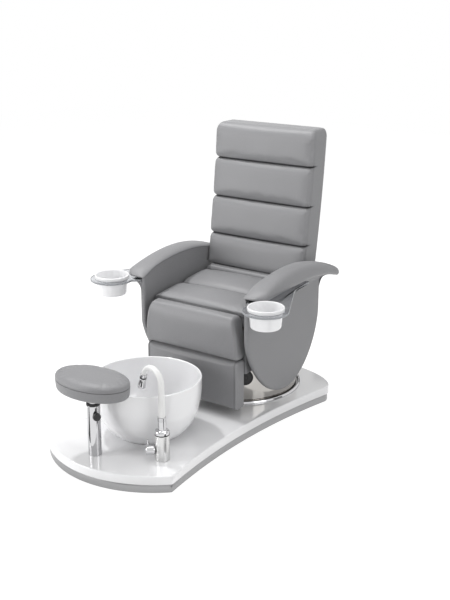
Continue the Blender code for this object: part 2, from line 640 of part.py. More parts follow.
def make_mixer(neck_axis, handle_axis):
    """Mixer body, seal, collar with spout, turning handle, gooseneck and hand spray."""
    place = standing(MIXER_X, MIXER_Y)
    chamfer = MIXER_RADIUS / 14.0
    body = [(0.0, MIXER_TOP), (MIXER_RADIUS - chamfer, MIXER_TOP), (MIXER_RADIUS, MIXER_TOP - chamfer),
            (MIXER_RADIUS, ON_SLAB), (0.0, ON_SLAB)]
    make_piece("mixer_body", turned(body, TURN, place), STEEL)
    seal_bottom = MIXER_TOP + SEAT_GAP
    seal = [(0.0, SEAL_TOP), (MIXER_RADIUS, SEAL_TOP), (MIXER_RADIUS, seal_bottom), (0.0, seal_bottom)]
    make_piece("mixer_seal", turned(seal, TURN, place), RUBBER)
    collar_bottom = SEAL_TOP + SEAT_GAP
    collar_top = collar_bottom + COLLAR_HEIGHT
    collar_width = MIXER_RADIUS - SPOUT_RADIUS
    drop = [(SPOUT_RADIUS + collar_width * math.sin(a), collar_top - COLLAR_HEIGHT * (1.0 - math.cos(a)))
            for a in np.radians((0.0, 20.0, 40.0, 60.0, 80.0))]
    spout = [(0.0, SPOUT_TOP), (SPOUT_RADIUS, SPOUT_TOP)] + drop
    spout += [(MIXER_RADIUS - chamfer, collar_bottom), (0.0, collar_bottom)]
    make_piece("mixer_spout", turned(spout, TURN, place), CHROME)

    centre = (MIXER_X, MIXER_Y, ON_SLAB + HANDLE_HEIGHT)
    start = MIXER_RADIUS + RUNNING_GAP
    end = start + HANDLE_LENGTH
    round_over = HANDLE_RADIUS / 8.0
    grip = [(0.0, end), (HANDLE_RADIUS - round_over, end), (HANDLE_RADIUS, end - round_over),
            (HANDLE_RADIUS, start), (0.0, start)]
    handle = turned(grip, SMALL_TURN, along(HANDLE_HEADING, centre))
    make_piece("mixer_handle", handle, CHROME, handle_axis)
    reach = end - HANDLE_RADIUS / 2.0
    pin_x = MIXER_X + reach * math.cos(HANDLE_HEADING)
    pin_y = MIXER_Y + reach * math.sin(HANDLE_HEADING)
    foot = centre[2] + HANDLE_RADIUS + SEAT_GAP
    top = foot + PIN_LENGTH
    pin = [(0.0, top), (PIN_RADIUS - PIN_BEVEL, top), (PIN_RADIUS, top - PIN_BEVEL), (PIN_RADIUS, foot),
           (0.0, foot)]
    make_piece("handle_pin", turned(pin, TINY_TURN, standing(pin_x, pin_y)), CHROME, handle_axis)

    path = neck_path()
    curve = bpy.data.curves.new("gooseneck", "CURVE")
    curve.dimensions = "3D"
    curve.bevel_depth = NECK_RADIUS
    curve.bevel_resolution = 2
    curve.use_fill_caps = True
    spline = curve.splines.new("POLY")
    spline.points.add(len(path) - 1)
    foot_ratio = NECK_FOOT_RADIUS / NECK_RADIUS
    ratios = np.linspace(foot_ratio, 1.0, len(path))
    for point, position, ratio in zip(spline.points, path, ratios):
        point.co = (*(position - neck_axis.location), 1.0)
        point.radius = ratio
    neck = bpy.data.objects.new("gooseneck", curve)
    curve.materials.append(make_material("gooseneck", WHITE))
    bpy.context.scene.collection.objects.link(neck)
    neck.parent = neck_axis

    tangent = (path[-1] - path[-2]).normalized()
    side = Vector((0, 0, 1)).cross(tangent).normalized()
    frame = Matrix((tangent.cross(side) * -1.0, side, tangent)).transposed().to_4x4()
    frame.translation = path[-1]
    spray = [(0.0, SPRAY_LENGTH), (SPRAY_FACE_RADIUS - SPRAY_BEVEL, SPRAY_LENGTH),
             (SPRAY_FACE_RADIUS, SPRAY_LENGTH - SPRAY_BEVEL), (SPRAY_COLLAR_RADIUS, SPRAY_COLLAR_LENGTH),
             (SPRAY_COLLAR_RADIUS, SEAT_GAP), (0.0, SEAT_GAP)]
    make_piece("hand_spray", turned(spray, SMALL_TURN, frame), CHROME, neck_axis)


def oval(inset):
    """Plan of the footrest, as an ellipse drawn in by a margin."""
    angles = 2.0 * np.pi * np.arange(OVAL_TURN) / OVAL_TURN
    long_half = FOOT_PAD_HALF_LENGTH - inset
    short_half = FOOT_PAD_HALF_WIDTH - inset
    return [(FOOTREST_X + long_half * math.cos(a), FOOTREST_Y + short_half * math.sin(a)) for a in angles]


def make_footrest(post_axis, top_axis, knob_axis):
    """Column, bush and clamp knob; sliding post; turning plate, board and oval pad."""
    place = standing(FOOTREST_X, FOOTREST_Y)
    bore = COLUMN_RADIUS - COLUMN_WALL
    tube = ring_profile(bore, COLUMN_RADIUS, ON_SLAB, COLUMN_TOP, COLUMN_WALL / 4.0)
    column = make_piece("footrest_column", turned(tube, TURN, place), CHROME)
    knob_centre = (FOOTREST_X, FOOTREST_Y, COLUMN_TOP - KNOB_DROP)
    knob_place = along(KNOB_HEADING, knob_centre)
    hole_radius = SCREW_RADIUS + RUNNING_GAP
    hole_end = COLUMN_RADIUS + CUT_OVERRUN
    hole = [(0.0, hole_end), (hole_radius, hole_end), (hole_radius, POST_RADIUS), (0.0, POST_RADIUS)]
    cut(column, "clamp_screw_hole", turned(hole, TINY_TURN, knob_place))
    bush_inner = POST_RADIUS + RUNNING_GAP
    bush = ring_profile(bush_inner, COLUMN_RADIUS + BUSH_PROUD, COLUMN_TOP + SEAT_GAP, BUSH_TOP, BUSH_PROUD)
    make_piece("footrest_bush", turned(bush, TURN, place), RUBBER)
    tip = POST_RADIUS + RUNNING_GAP
    head = COLUMN_RADIUS + KNOB_NECK_LENGTH
    face = head + KNOB_THICKNESS
    bevel = KNOB_RADIUS / 5.0
    knob = [(0.0, face), (KNOB_RADIUS - bevel, face), (KNOB_RADIUS, face - bevel),
            (KNOB_RADIUS, head + bevel), (KNOB_RADIUS - bevel, head), (SCREW_RADIUS, head),
            (SCREW_RADIUS, tip), (0.0, tip)]
    make_piece("clamp_knob", turned(knob, SMALL_TURN, knob_place), RUBBER, knob_axis)

    post_bottom = BUSH_TOP - POST_DEPTH
    post = [(0.0, POST_TOP), (POST_RADIUS, POST_TOP), (POST_RADIUS, post_bottom), (0.0, post_bottom)]
    make_piece("footrest_post", turned(post, TURN, place), CHROME, post_axis)
    plate_bottom = POST_TOP + SEAT_GAP
    plate = [(0.0, PLATE_TOP), (PLATE_RADIUS, PLATE_TOP), (PLATE_RADIUS, plate_bottom), (0.0, plate_bottom)]
    make_piece("footrest_plate", turned(plate, TURN, place), STEEL, top_axis)
    board = oval(FOOT_BOARD_INSET)
    board_bottom = PLATE_TOP + SEAT_GAP
    solid = loft([at_height(board, board_bottom), at_height(board, FOOT_BOARD_TOP)])
    make_piece("footrest_board", solid, PLY, top_axis)
    seam = board_bottom + FOOT_PAD_SEAM
    crown = FOOT_PAD_THICKNESS - FOOT_PAD_SEAM
    loops = []
    for angle in np.radians((-90.0, -62.0, -34.0, -10.0)):
        drawn_in = FOOT_PAD_TAPER * (1.0 - math.cos(angle))
        loops.append(at_height(oval(drawn_in), seam + FOOT_PAD_SEAM * math.sin(angle)))
    loops.append(at_height(oval(0.0), seam))
    for share in (0.12, 0.30, 0.52, 0.76, 0.94):
        drawn_in = (FOOT_PAD_HALF_WIDTH - FOOT_PAD_FLAT) * share ** FOOT_PAD_CROWN_POWER
        loops.append(at_height(oval(drawn_in), seam + crown * (1.0 - (1.0 - share) ** 2)))
    pad = make_piece("footrest_pad", loft(loops), LEATHER, top_axis)
    recess = oval(FOOT_BOARD_INSET - SEAT_GAP)
    recess_levels = (PLATE_TOP - FOOT_BOARD_THICKNESS, FOOT_BOARD_TOP + SEAT_GAP)
    cut(pad, "footrest_recess", loft([at_height(recess, z) for z in recess_levels]))


def make_seat_body(chair):
    """Carcass on the turntable, with the boards that carry the upholstery."""
    wall = BOARD_THICKNESS
    outer = [(-CARCASS_HALF_WIDTH, CARCASS_FRONT_Y), (CARCASS_HALF_WIDTH, CARCASS_FRONT_Y),
             (CARCASS_HALF_WIDTH, CARCASS_REAR_Y), (-CARCASS_HALF_WIDTH, CARCASS_REAR_Y)]
    inner = offset_outline(outer, wall)
    band = [at_height(outer, CARCASS_BOTTOM), at_height(outer, CARCASS_TOP)]
    band += [at_height(inner, CARCASS_TOP), at_height(inner, CARCASS_BOTTOM)]
    carcass = make_piece("seat_carcass", loft(band, closed_ends=False), LEATHER, chair, smooth=False)
    notch_low = (-REAR_NOTCH_HALF_WIDTH, CARCASS_REAR_Y - 2.0 * wall, CARCASS_TOP - REAR_NOTCH_DEPTH)
    notch_high = (REAR_NOTCH_HALF_WIDTH, CARCASS_REAR_Y + wall, CARCASS_TOP + wall)
    cut(carcass, "rear_notch", box(notch_low, notch_high))

    half = SEAT_HALF_WIDTH - BOARD_INSET
    low = (-half, CARCASS_FRONT_Y, SEAT_BOARD_BOTTOM)
    high = (half, SEAT_REAR_Y - BOARD_INSET, SEAT_BOARD_BOTTOM + BOARD_THICKNESS)
    make_piece("seat_board", box(low, high), PLY, chair, smooth=False)
    half = LEG_HALF_WIDTH - 2.0 * BOARD_INSET
    low = (-half, FRONT_BOARD_REAR_Y - BOARD_THICKNESS, LEG_BOTTOM + BOARD_INSET)
    high = (half, FRONT_BOARD_REAR_Y, SEAT_BOARD_BOTTOM + BOARD_THICKNESS)
    make_piece("front_board", box(low, high), PLY, chair, smooth=False)


def puff(share, power):
    """Rise of a stuffed channel between two seams: 0 on each seam, 1 in the middle."""
    return 1.0 - abs(2.0 * share - 1.0) ** power


def channel_levels(edges, steps):
    """Places along a channelled pad, closer near the seams, with the rise at each."""
    levels = []
    for start, end in zip(edges, edges[1:]):
        for step in range(steps + 1):
            share = 0.5 - 0.5 * math.cos(math.pi * step / steps)
            if step == 0 and levels:
                continue
            levels.append((start + (end - start) * share, share))
    return levels


def make_seat_cushion(chair):
    """Seat cushion: cross-sections along Y, with sewn channels and a crowned top."""
    slope = (SEAT_REAR_TOP - SEAT_FRONT_TOP) / (SEAT_REAR_Y - SEAT_FRONT_Y)
    radius = SEAT_EDGE_RADIUS
    edges = (SEAT_FRONT_Y + SEAT_GAP, *SEAT_CREASES_Y, SEAT_REAR_Y)
    loops = []
    for y, share in channel_levels(edges, 6):
        line = SEAT_FRONT_TOP + slope * (y - SEAT_FRONT_Y)
        under_back = y > (SEAT_CREASES_Y[-1] + SEAT_REAR_Y) / 2.0
        rise = 1.0 if under_back else puff(share, SEAT_PUFF)
        crown = 0.0 if y > SEAT_CREASES_Y[-1] else SEAT_CROWN
        top = line - SEAT_CREASE_DEPTH * (1.0 - rise)
        half = SEAT_HALF_WIDTH - SEAT_CREASE_DRAW * (1.0 - rise)
        border = SEAT_UNDERSIDE + SEAT_BORDER
        section = [(-half + SEAT_TUCK, SEAT_UNDERSIDE), (half - SEAT_TUCK, SEAT_UNDERSIDE), (half, border)]
        corner = arc((half - radius, top - radius), radius, 0.0, 90.0, 3)
        section += corner
        for x in (half / 2.0, 0.0, -half / 2.0):
            section.append((x, top + crown * rise * (1.0 - (x / half) ** 2)))
        section += [(-x, z) for x, z in reversed(corner)]
        section.append((-half, border))
        loops.append([Vector((x, y, z)) for x, z in section])
    make_piece("seat_cushion", loft(loops), LEATHER, chair)


def section_across(section, half_width, end_round):
    """Carry a (y, z) section across X, shrinking it towards its middle at both ends."""
    points = np.asarray(section, float)
    back = points[:, 0].max()
    middle = (points[:, 1].max() + points[:, 1].min()) / 2.0
    loops = []
    for share in PAD_STATIONS:
        inner = max(0.0, (abs(share) * half_width - (half_width - end_round)) / end_round)
        drop = end_round * (1.0 - math.sqrt(max(0.0, 1.0 - inner ** 2)))
        height = (points[:, 1].max() - points[:, 1].min()) / 2.0
        front = back - points[:, 0].min()
        ring = []
        for y, z in points:
            y_end = back - (back - y) * (1.0 - drop / front)
            z_end = middle + (z - middle) * (1.0 - drop / height)
            ring.append(Vector((share * half_width, y_end, z_end)))
        loops.append(ring)
    return loft(loops)


def make_front_pads(chair):
    """The round roll under the knees and the pad that hangs below it."""
    rear = FRONT_PAD_REAR_Y
    knee = ROLL_KNEE_RADIUS
    foot = ROLL_FOOT_RADIUS
    section = [(rear, ROLL_BOTTOM + LEG_BULGE), (rear, ROLL_TOP - ROLL_TUCK)]
    section += [(rear + SEAT_TUCK, ROLL_TOP - ROLL_TUCK / 3.0)]
    section += arc((ROLL_FRONT_Y + knee, ROLL_TOP - knee), knee, 90.0, 180.0, 6)
    section += [(ROLL_FRONT_Y - LEG_BULGE, (ROLL_TOP + ROLL_BOTTOM) / 2.0)]
    section += arc((ROLL_FRONT_Y + foot, ROLL_BOTTOM + foot), foot, 180.0, 270.0, 4)
    make_piece("knee_roll", section_across(section, LEG_HALF_WIDTH, ROLL_END_ROUND), LEATHER, chair)
    top = ROLL_BOTTOM - LEG_CREASE
    edge = LEG_EDGE_RADIUS
    section = [(rear, LEG_BOTTOM + LEG_BULGE), (rear, top - LEG_BULGE)]
    section += arc((LEG_FRONT_Y + edge, top - edge), edge, 90.0, 180.0, 4)
    section += [(LEG_FRONT_Y - LEG_BULGE, (top + LEG_BOTTOM) / 2.0)]
    section += arc((LEG_FRONT_Y + edge, LEG_BOTTOM + edge), edge, 180.0, 270.0, 4)
    make_piece("leg_pad", section_across(section, LEG_HALF_WIDTH, LEG_END_ROUND), LEATHER, chair)


def back_heights():
    """Heights at which the backrest's line bends, so that all its layers bend together."""
    return np.linspace(BACK_BOTTOM, BACK_TOP, BACK_SPANS + 1)


def back_line(z):
    """Front line of the backrest in side view: a straight lean with a shallow sag, in short chords."""
    heights = back_heights()
    shares = np.linspace(0.0, 1.0, BACK_SPANS + 1)
    lean = BACK_FRONT_Y + (heights - BACK_BOTTOM) * math.tan(BACK_LEAN)
    line = lean + BACK_SAG * 4.0 * shares * (1.0 - shares)
    if z < BACK_BOTTOM:
        return float(line[0] + (z - BACK_BOTTOM) * (line[1] - line[0]) / (heights[1] - heights[0]))
    return float(np.interp(z, heights, line))


def back_panel(half_width, bottom, top, near, far, corner):
    """A panel that follows the backrest's line, from one depth to another, with round top corners."""
    loops = []
    levels = [bottom] + [z for z in back_heights() if bottom < z < top - corner] + [top - corner]
    levels += [top - corner * (1.0 - math.sin(a)) for a in np.radians((30.0, 60.0, 82.0))]
    for z in levels:
        over = max(0.0, z - (top - corner)) / corner
        half = half_width - corner * (1.0 - math.sqrt(1.0 - over ** 2))
        y = back_line(z)
        loops.append([Vector((-half, y + near, z)), Vector((half, y + near, z)),
                      Vector((half, y + far, z)), Vector((-half, y + far, z))])
    return loft(loops)


def back_cushion_loops():
    """Level cross-sections of the back cushion: channels in front, a straight border behind."""
    corner = BACK_EDGE_RADIUS
    top_start = BACK_TOP - BACK_TOP_RADIUS
    edges = (BACK_BOTTOM, *BACK_CREASES_Z, BACK_TOP)
    loops = []
    for z, share in channel_levels(edges, 6):
        in_channel = 1.0 - puff(share, BACK_PUFF) if z < top_start else 0.0
        over = max(0.0, z - top_start) / BACK_TOP_RADIUS
        fall = BACK_TOP_RADIUS * (1.0 - math.sqrt(max(0.0, 1.0 - (over * 0.97) ** 2)))
        half = BACK_HALF_WIDTH - BACK_CREASE_DRAW * in_channel - fall * BACK_TOP_SIDE_SHARE
        front = back_line(z) + BACK_CREASE_DEPTH * in_channel + fall
        rear = back_line(z) + BACK_THICKNESS - fall * BACK_TOP_REAR_SHARE
        ring = [(half, rear), (half, (front + rear) / 2.0)]
        ring += [(half - corner + corner * math.cos(a), front + corner - corner * math.sin(a))
                 for a in np.radians((0.0, 30.0, 60.0, 90.0))]
        for x in (half * 0.5, 0.0):
            ring.append((x, front - BACK_CROWN * puff(share, BACK_PUFF) * (1.0 - (x / half) ** 2)))
        ring += [(-x, y) for x, y in reversed(ring[:-1])]
        loops.append([Vector((x, y, z)) for x, y in ring])
    return loops


def hinge_axis_y():
    """The hinge lies in line with the straps on the back of the board."""
    board_rear = back_line(HINGE_Z) + BACK_THICKNESS - BACK_POCKET_DEPTH + BOARD_THICKNESS
    return board_rear - STRAP_THICKNESS / 2.0


def strap_outline(with_crank):
    """Side outline of a hinge strap: an eye on the shaft and a flat strap up the board."""
    centre_y = hinge_axis_y()
    top = BACK_BOTTOM + STRAP_RISE
    shift = back_line(top) - back_line(HINGE_Z)
    half = STRAP_THICKNESS / 2.0
    crank_half = CRANK_THICKNESS / 2.0 if with_crank else 0.0
    spread = math.degrees(math.asin(crank_half / EYE_RADIUS))
    outline = arc((centre_y, HINGE_Z), EYE_RADIUS, 105.0, 270.0 - spread, 8)
    if with_crank:
        reach = HINGE_Z - CRANK_LENGTH
        outline += [(centre_y - crank_half, reach), (centre_y + crank_half, reach)]
    outline += arc((centre_y, HINGE_Z), EYE_RADIUS, 270.0 + spread, 435.0, 8)[0 if with_crank else 1:]
    knee = BACK_BOTTOM - 0.5 * (HINGE_DROP - EYE_RADIUS)
    knee_shift = back_line(knee) - back_line(HINGE_Z)
    outline += [(centre_y + knee_shift + half, knee), (centre_y + shift + half, top)]
    outline += [(centre_y + shift - half, top), (centre_y + knee_shift - half, knee)]
    return outline


def shaft_bore(name, piece, x_low, x_high):
    """Bore a piece for the recline shaft."""
    bore = SHAFT_RADIUS + RUNNING_GAP
    ring = arc((hinge_axis_y(), HINGE_Z), bore, 0.0, 345.0, 23)
    outline = [(0.0, y, z) for y, z in ring]
    cut(piece, name, prism(outline, (1, 0, 0), x_low - CUT_OVERRUN, x_high + CUT_OVERRUN))


def make_backrest(chair, back):
    """Back cushion, board, rear cover and the straps that hang them on the recline shaft."""
    pocket_near = BACK_THICKNESS - BACK_POCKET_DEPTH
    pocket_half = BACK_HALF_WIDTH - BACK_POCKET_SIDE_MARGIN
    pocket_top = BACK_TOP - BACK_POCKET_TOP_MARGIN
    corner = BACK_POCKET_TOP_MARGIN / 2.0
    below = BACK_BOTTOM - HINGE_DROP / 4.0
    cushion = make_piece("back_cushion", loft(back_cushion_loops()), LEATHER, back)
    far = BACK_THICKNESS + BACK_POCKET_DEPTH
    cutter = back_panel(pocket_half, below - BOARD_INSET, pocket_top, pocket_near, far, corner)
    cut(cushion, "back_pocket", cutter)

    half = pocket_half - SEAT_GAP
    top = pocket_top - SEAT_GAP
    near = pocket_near + SEAT_GAP
    far = near + BOARD_THICKNESS
    board = make_piece("back_board", back_panel(half, below, top, near, far, corner), PLY, back)
    cover_near = far + SEAT_GAP
    cover_far = BACK_THICKNESS + BACK_COVER_PROUD
    cover_bottom = BACK_BOTTOM + BOARD_INSET
    cover = back_panel(half, cover_bottom, top, cover_near, cover_far, corner)
    make_piece("back_cover", cover, LEATHER, back)

    straps = (("back_strap_left", -STRAP_X, STRAP_WIDTH), ("back_strap_right", STRAP_X, STRAP_WIDTH),
              ("recline_crank", 0.0, CRANK_WIDTH))
    for name, x, width in straps:
        outline = [(0.0, y, z) for y, z in strap_outline(name == "recline_crank")]
        low = x - width / 2.0
        high = x + width / 2.0
        strap = make_piece(name, prism(outline, (1, 0, 0), low, high), STEEL, back)
        shaft_bore(name + "_bore", strap, low, high)
        slot_near = far - STRAP_THICKNESS - 2.0 * SEAT_GAP
        slot_top = BACK_BOTTOM + STRAP_RISE + SEAT_GAP
        slot = []
        for z in np.linspace(below - BOARD_INSET, slot_top, 4):
            y_near = back_line(z) + slot_near
            y_far = back_line(z) + far + CUT_OVERRUN
            x_low = low - SEAT_GAP
            x_high = high + SEAT_GAP
            slot.append([Vector((x_low, y_near, z)), Vector((x_high, y_near, z)),
                         Vector((x_high, y_far, z)), Vector((x_low, y_far, z))])
        cut(board, name + "_slot", loft(slot))

    ear_x = STRAP_X + STRAP_WIDTH / 2.0 + RUNNING_GAP
    ear_rear = CARCASS_REAR_Y + SEAT_GAP
    ring = arc((hinge_axis_y(), HINGE_Z), EYE_RADIUS, -60.0, 120.0, 10)
    profile = ring + [(ear_rear, CARCASS_TOP), (ear_rear, CARCASS_TOP - EAR_HEIGHT)]
    outline = [(0.0, y, z) for y, z in profile]
    for side, low in (("left", -ear_x - EAR_THICKNESS), ("right", ear_x)):
        solid = prism(outline, (1, 0, 0), low, low + EAR_THICKNESS)
        ear = make_piece("hinge_ear_" + side, solid, STEEL, chair)
        shaft_bore("hinge_ear_" + side + "_bore", ear, low, low + EAR_THICKNESS)
    end = ear_x + EAR_THICKNESS + SHAFT_RADIUS / 2.0
    ring = arc((hinge_axis_y(), HINGE_Z), SHAFT_RADIUS, 0.0, 345.0, 23)
    shaft = prism([(0.0, y, z) for y, z in ring], (1, 0, 0), -end, end)
    make_piece("recline_shaft", shaft, STEEL, chair)


def make_actuator(chair, rod_axis):
    """Actuator inside the carcass, whose rod pushes the crank and holds the backrest."""
    height = HINGE_Z - CRANK_LENGTH + ACTUATOR_RADIUS / 2.0
    crank_face = hinge_axis_y() - CRANK_THICKNESS / 2.0
    front = CARCASS_FRONT_Y + BOARD_THICKNESS + SEAT_GAP
    place = along(math.pi / 2.0, (0.0, 0.0, height))
    body_end = front + ACTUATOR_LENGTH
    bevel = ACTUATOR_RADIUS / 6.0
    inner = ROD_RADIUS + RUNNING_GAP
    socket = body_end - ROD_HIDDEN_LENGTH
    body = [(inner, body_end), (ACTUATOR_RADIUS - bevel, body_end), (ACTUATOR_RADIUS, body_end - bevel),
            (ACTUATOR_RADIUS, front), (0.0, front), (0.0, front + bevel), (inner, front + bevel)]
    make_piece("recline_actuator", turned(body, SMALL_TURN, place), PAINTED, chair)
    tip = crank_face - RUNNING_GAP
    rod = [(0.0, tip), (ROD_RADIUS - bevel, tip), (ROD_RADIUS, tip - bevel), (ROD_RADIUS, socket),
           (0.0, socket)]
    make_piece("actuator_rod", turned(rod, SMALL_TURN, place), CHROME, rod_axis)


def shoulder(y):
    """Height of the panel's top under the arm pad: two arcs that meet at the peak."""
    if y < SHOULDER_PEAK_Y:
        reach = ARM_FRONT_Y - SHOULDER_PEAK_Y
        return SHOULDER_PEAK - SHOULDER_FRONT_DROP * ((y - SHOULDER_PEAK_Y) / reach) ** 2
    reach = ARM_REAR_Y + FLARE_BACK - SHOULDER_PEAK_Y
    return SHOULDER_PEAK - SHOULDER_REAR_DROP * ((y - SHOULDER_PEAK_Y) / reach) ** 2


def pad_top(y):
    """Height of the arm pad's crown: two arcs that meet at the peak."""
    if y < ARM_PAD_PEAK_Y:
        reach = ARM_FRONT_Y - ARM_PAD_NOSE - ARM_PAD_PEAK_Y
        return ARM_PAD_PEAK - ARM_PAD_FRONT_DROP * ((y - ARM_PAD_PEAK_Y) / reach) ** 2
    reach = ARM_REAR_Y + FLARE_BACK + ARM_PAD_TAIL - ARM_PAD_PEAK_Y
    return ARM_PAD_PEAK - ARM_PAD_REAR_DROP * ((y - ARM_PAD_PEAK_Y) / reach) ** 2


def petal_edge(z, far_y, power):
    """Front or rear edge of the arm panel: upright above, drawn in to the tip below."""
    drop = max(0.0, (ARM_WIDEST - z) / (ARM_WIDEST - ARM_BOTTOM))
    return ARM_TIP_Y + (far_y - ARM_TIP_Y) * math.sqrt(max(0.0, 1.0 - drop ** power))


def arm_loop(z, flare):
    """Plan of the arm panel at one height, with round edges; the top follows the shoulder."""
    front = petal_edge(z, ARM_FRONT_Y, PETAL_FRONT_POWER)
    rear = petal_edge(z, ARM_REAR_Y, PETAL_REAR_POWER) + FLARE_BACK * flare
    outer = ARM_INNER_X + ARM_THICKNESS + FLARE_OUT * flare
    small = ARM_EDGE_RADIUS
    large = small + FLARE_OUT / 2.0 * flare
    corner_steps = np.radians((0.0, 45.0, 90.0))
    ring = [(outer - small * (1.0 - math.sin(a)), front + small * (1.0 - math.cos(a)))
            for a in corner_steps]
    inner_shares = np.linspace(0.0, 1.0, 9)[1:-1]
    ring += [(outer, front + small + (rear - large - front - small) * s) for s in inner_shares]
    ring += [(outer - large * (1.0 - math.cos(a)), rear - large * (1.0 - math.sin(a)))
             for a in corner_steps]
    ring += [(ARM_INNER_X + small * (1.0 - math.cos(a)), rear - small * (1.0 - math.sin(a)))
             for a in corner_steps[::-1]]
    ring += [(ARM_INNER_X, rear - small - (rear - front - 2.0 * small) * s) for s in inner_shares]
    ring += [(ARM_INNER_X + small * (1.0 - math.sin(a)), front + small * (1.0 - math.cos(a)))
             for a in corner_steps[::-1]]
    lift = max(0.0, (z - FLARE_START) / (SHOULDER_PEAK - FLARE_START))
    return [Vector((x, y, z + lift * (shoulder(y) - SHOULDER_PEAK))) for x, y in ring]


def arm_pad_loop(share):
    """Upright section of the arm pad, a share of the way from its nose to its tail."""
    front = ARM_FRONT_Y - ARM_PAD_NOSE
    rear = ARM_REAR_Y + FLARE_BACK + ARM_PAD_TAIL
    crown_x = ARM_INNER_X + ARM_PAD_CROWN_SHARE * (ARM_PAD_OUTER_X - ARM_INNER_X)
    y = front + (rear - front) * share
    at_nose = max(0.0, 1.0 - (y - front) / ARM_NOSE_LENGTH)
    at_tail = max(0.0, 1.0 - (rear - y) / ARM_TAIL_LENGTH)
    full = math.sqrt(max(0.02, 1.0 - max(at_nose, at_tail) ** 2))
    bottom = shoulder(y) + SEAT_GAP + ARM_NOSE_RISE * at_nose ** 1.5
    height = (pad_top(y) - bottom) * (ARM_TIP_SHARE + (1.0 - ARM_TIP_SHARE) * full)
    inner_x = ARM_INNER_X + ARM_TAIL_DRAW * at_tail ** 2
    outer_x = crown_x + (ARM_PAD_OUTER_X - crown_x) * (ARM_TIP_WIDTH + (1.0 - ARM_TIP_WIDTH) * full ** 1.5)
    outer_half = outer_x - crown_x
    inner_half = crown_x - inner_x
    seam = ARM_PAD_SEAM * height
    ring = [(inner_x, bottom), ((inner_x + outer_x) / 2.0, bottom), (outer_x - ARM_PAD_UNDERCUT, bottom)]
    for a in np.radians((8.0, 30.0, 52.0, 72.0, 90.0)):
        ring.append((crown_x + outer_half * math.cos(a) ** 0.85, bottom + height * math.sin(a) ** 0.85))
    for a in np.radians((35.0, 65.0, 90.0)):
        ring.append((crown_x - inner_half * math.sin(a), bottom + seam + (height - seam) * math.cos(a)))
    return [Vector((x, y, z)) for x, z in ring]


def mirrored(loops, side):
    """Loops of the right-hand arm, or of its mirror image."""
    return [[Vector((side * p.x, p.y, p.z)) for p in ring] for ring in loops]


def make_arm(name, side, chair):
    """One arm: the petal panel that hugs the drum, with the slot for the tray, and its pad."""
    loops = []
    tip = ARM_BOTTOM + ARM_TIP_FLAT
    for share in np.linspace(0.0, 1.0, 11):
        loops.append(arm_loop(tip + (ARM_WIDEST - tip) * share ** 1.6, 0.0))
    loops.append(arm_loop(FLARE_START, 0.0))
    for share in (0.30, 0.55, 0.75, 0.90, 1.0):
        z = FLARE_START + (SHOULDER_PEAK - SEAT_GAP - FLARE_START) * share
        loops.append(arm_loop(z, 1.0 - math.sqrt(1.0 - (share * 0.995) ** 2)))
    panel = make_piece("arm_panel_" + name, loft(mirrored(loops, side), bent_ends=True), LEATHER, chair)
    clear = DRUM_RADIUS + SEAT_GAP
    ceiling = DRUM_TOP + SEAT_GAP
    drum_space = [(0.0, ceiling), (clear, ceiling), (clear, PLINTH_HEIGHT), (0.0, PLINTH_HEIGHT)]
    cut(panel, "drum_space_" + name, turned(drum_space, FINE_TURN))
    inner = side * (TONGUE_INNER_X - SEAT_GAP)
    outer = side * (ARM_PAD_OUTER_X + FLARE_OUT)
    low = (min(inner, outer), ARM_FRONT_Y - FLARE_OUT, TRAY_UNDERSIDE - SEAT_GAP)
    high = (max(inner, outer), TONGUE_REAR_Y + SEAT_GAP, ARM_PAD_PEAK)
    cut(panel, "tray_slot_" + name, box(low, high))

    loops = [arm_pad_loop(share) for share in ARM_PAD_STATIONS]
    make_piece("arm_pad_" + name, loft(mirrored(loops, side)), LEATHER, chair)


def tray_outline():
    """Plan of the right-hand tray: a ring plate with a tongue that runs back under the arm pad."""
    outline = [(TONGUE_INNER_X, TONGUE_REAR_Y), (TONGUE_INNER_X, ARM_FRONT_Y)]
    outline += arc((TRAY_X, TRAY_Y), TRAY_RADIUS, *TRAY_ARC, 26)
    outline += [(TONGUE_OUTER_X, TONGUE_NECK_Y), (TONGUE_OUTER_X, TONGUE_REAR_Y)]
    return outline


def make_tray(name, side, chair, cup_axis):
    """One clear tray and the cup that hangs in its ring."""
    outline = [(side * x, y) for x, y in tray_outline()]
    solid = loft([at_height(outline, TRAY_UNDERSIDE), at_height(outline, TRAY_TOP)])
    tray = make_piece("tray_" + name, solid, ACRYLIC, chair)
    place = standing(side * TRAY_X, TRAY_Y)
    hole_radius = CUP_NECK_RADIUS + CUP_HOLE_GAP
    hole = [(0.0, TRAY_TOP + TRAY_THICKNESS), (hole_radius, TRAY_TOP + TRAY_THICKNESS),
            (hole_radius, TRAY_UNDERSIDE - TRAY_THICKNESS), (0.0, TRAY_UNDERSIDE - TRAY_THICKNESS)]
    cut(tray, "cup_hole_" + name, turned(hole, TURN, place))

    bottom = TRAY_TOP - CUP_DEPTH
    lip_bottom = TRAY_TOP + SEAT_GAP
    lip_round = CUP_LIP_HEIGHT / 4.0
    base = CUP_BASE_ROUND
    inner_neck = CUP_NECK_RADIUS - CUP_WALL
    profile = [(CUP_LIP_RADIUS - lip_round, CUP_RIM), (CUP_LIP_RADIUS, CUP_RIM - lip_round),
               (CUP_LIP_RADIUS, lip_bottom), (CUP_NECK_RADIUS, lip_bottom)]
    flat = CUP_BASE_RADIUS - base
    floor = bottom + CUP_WALL
    profile += [(CUP_BASE_RADIUS + base * 0.15, bottom + base),
                (CUP_BASE_RADIUS - base * 0.3, bottom + base * 0.25), (flat, bottom), (0.0, bottom)]
    profile += [(0.0, floor), (flat, floor), (CUP_BASE_RADIUS - CUP_WALL, floor + base),
                (inner_neck, lip_bottom), (CUP_LIP_RADIUS - 2.0 * lip_round, CUP_RIM)]
    make_piece("cup_" + name, turned(profile, TURN, place), WHITE, cup_axis)


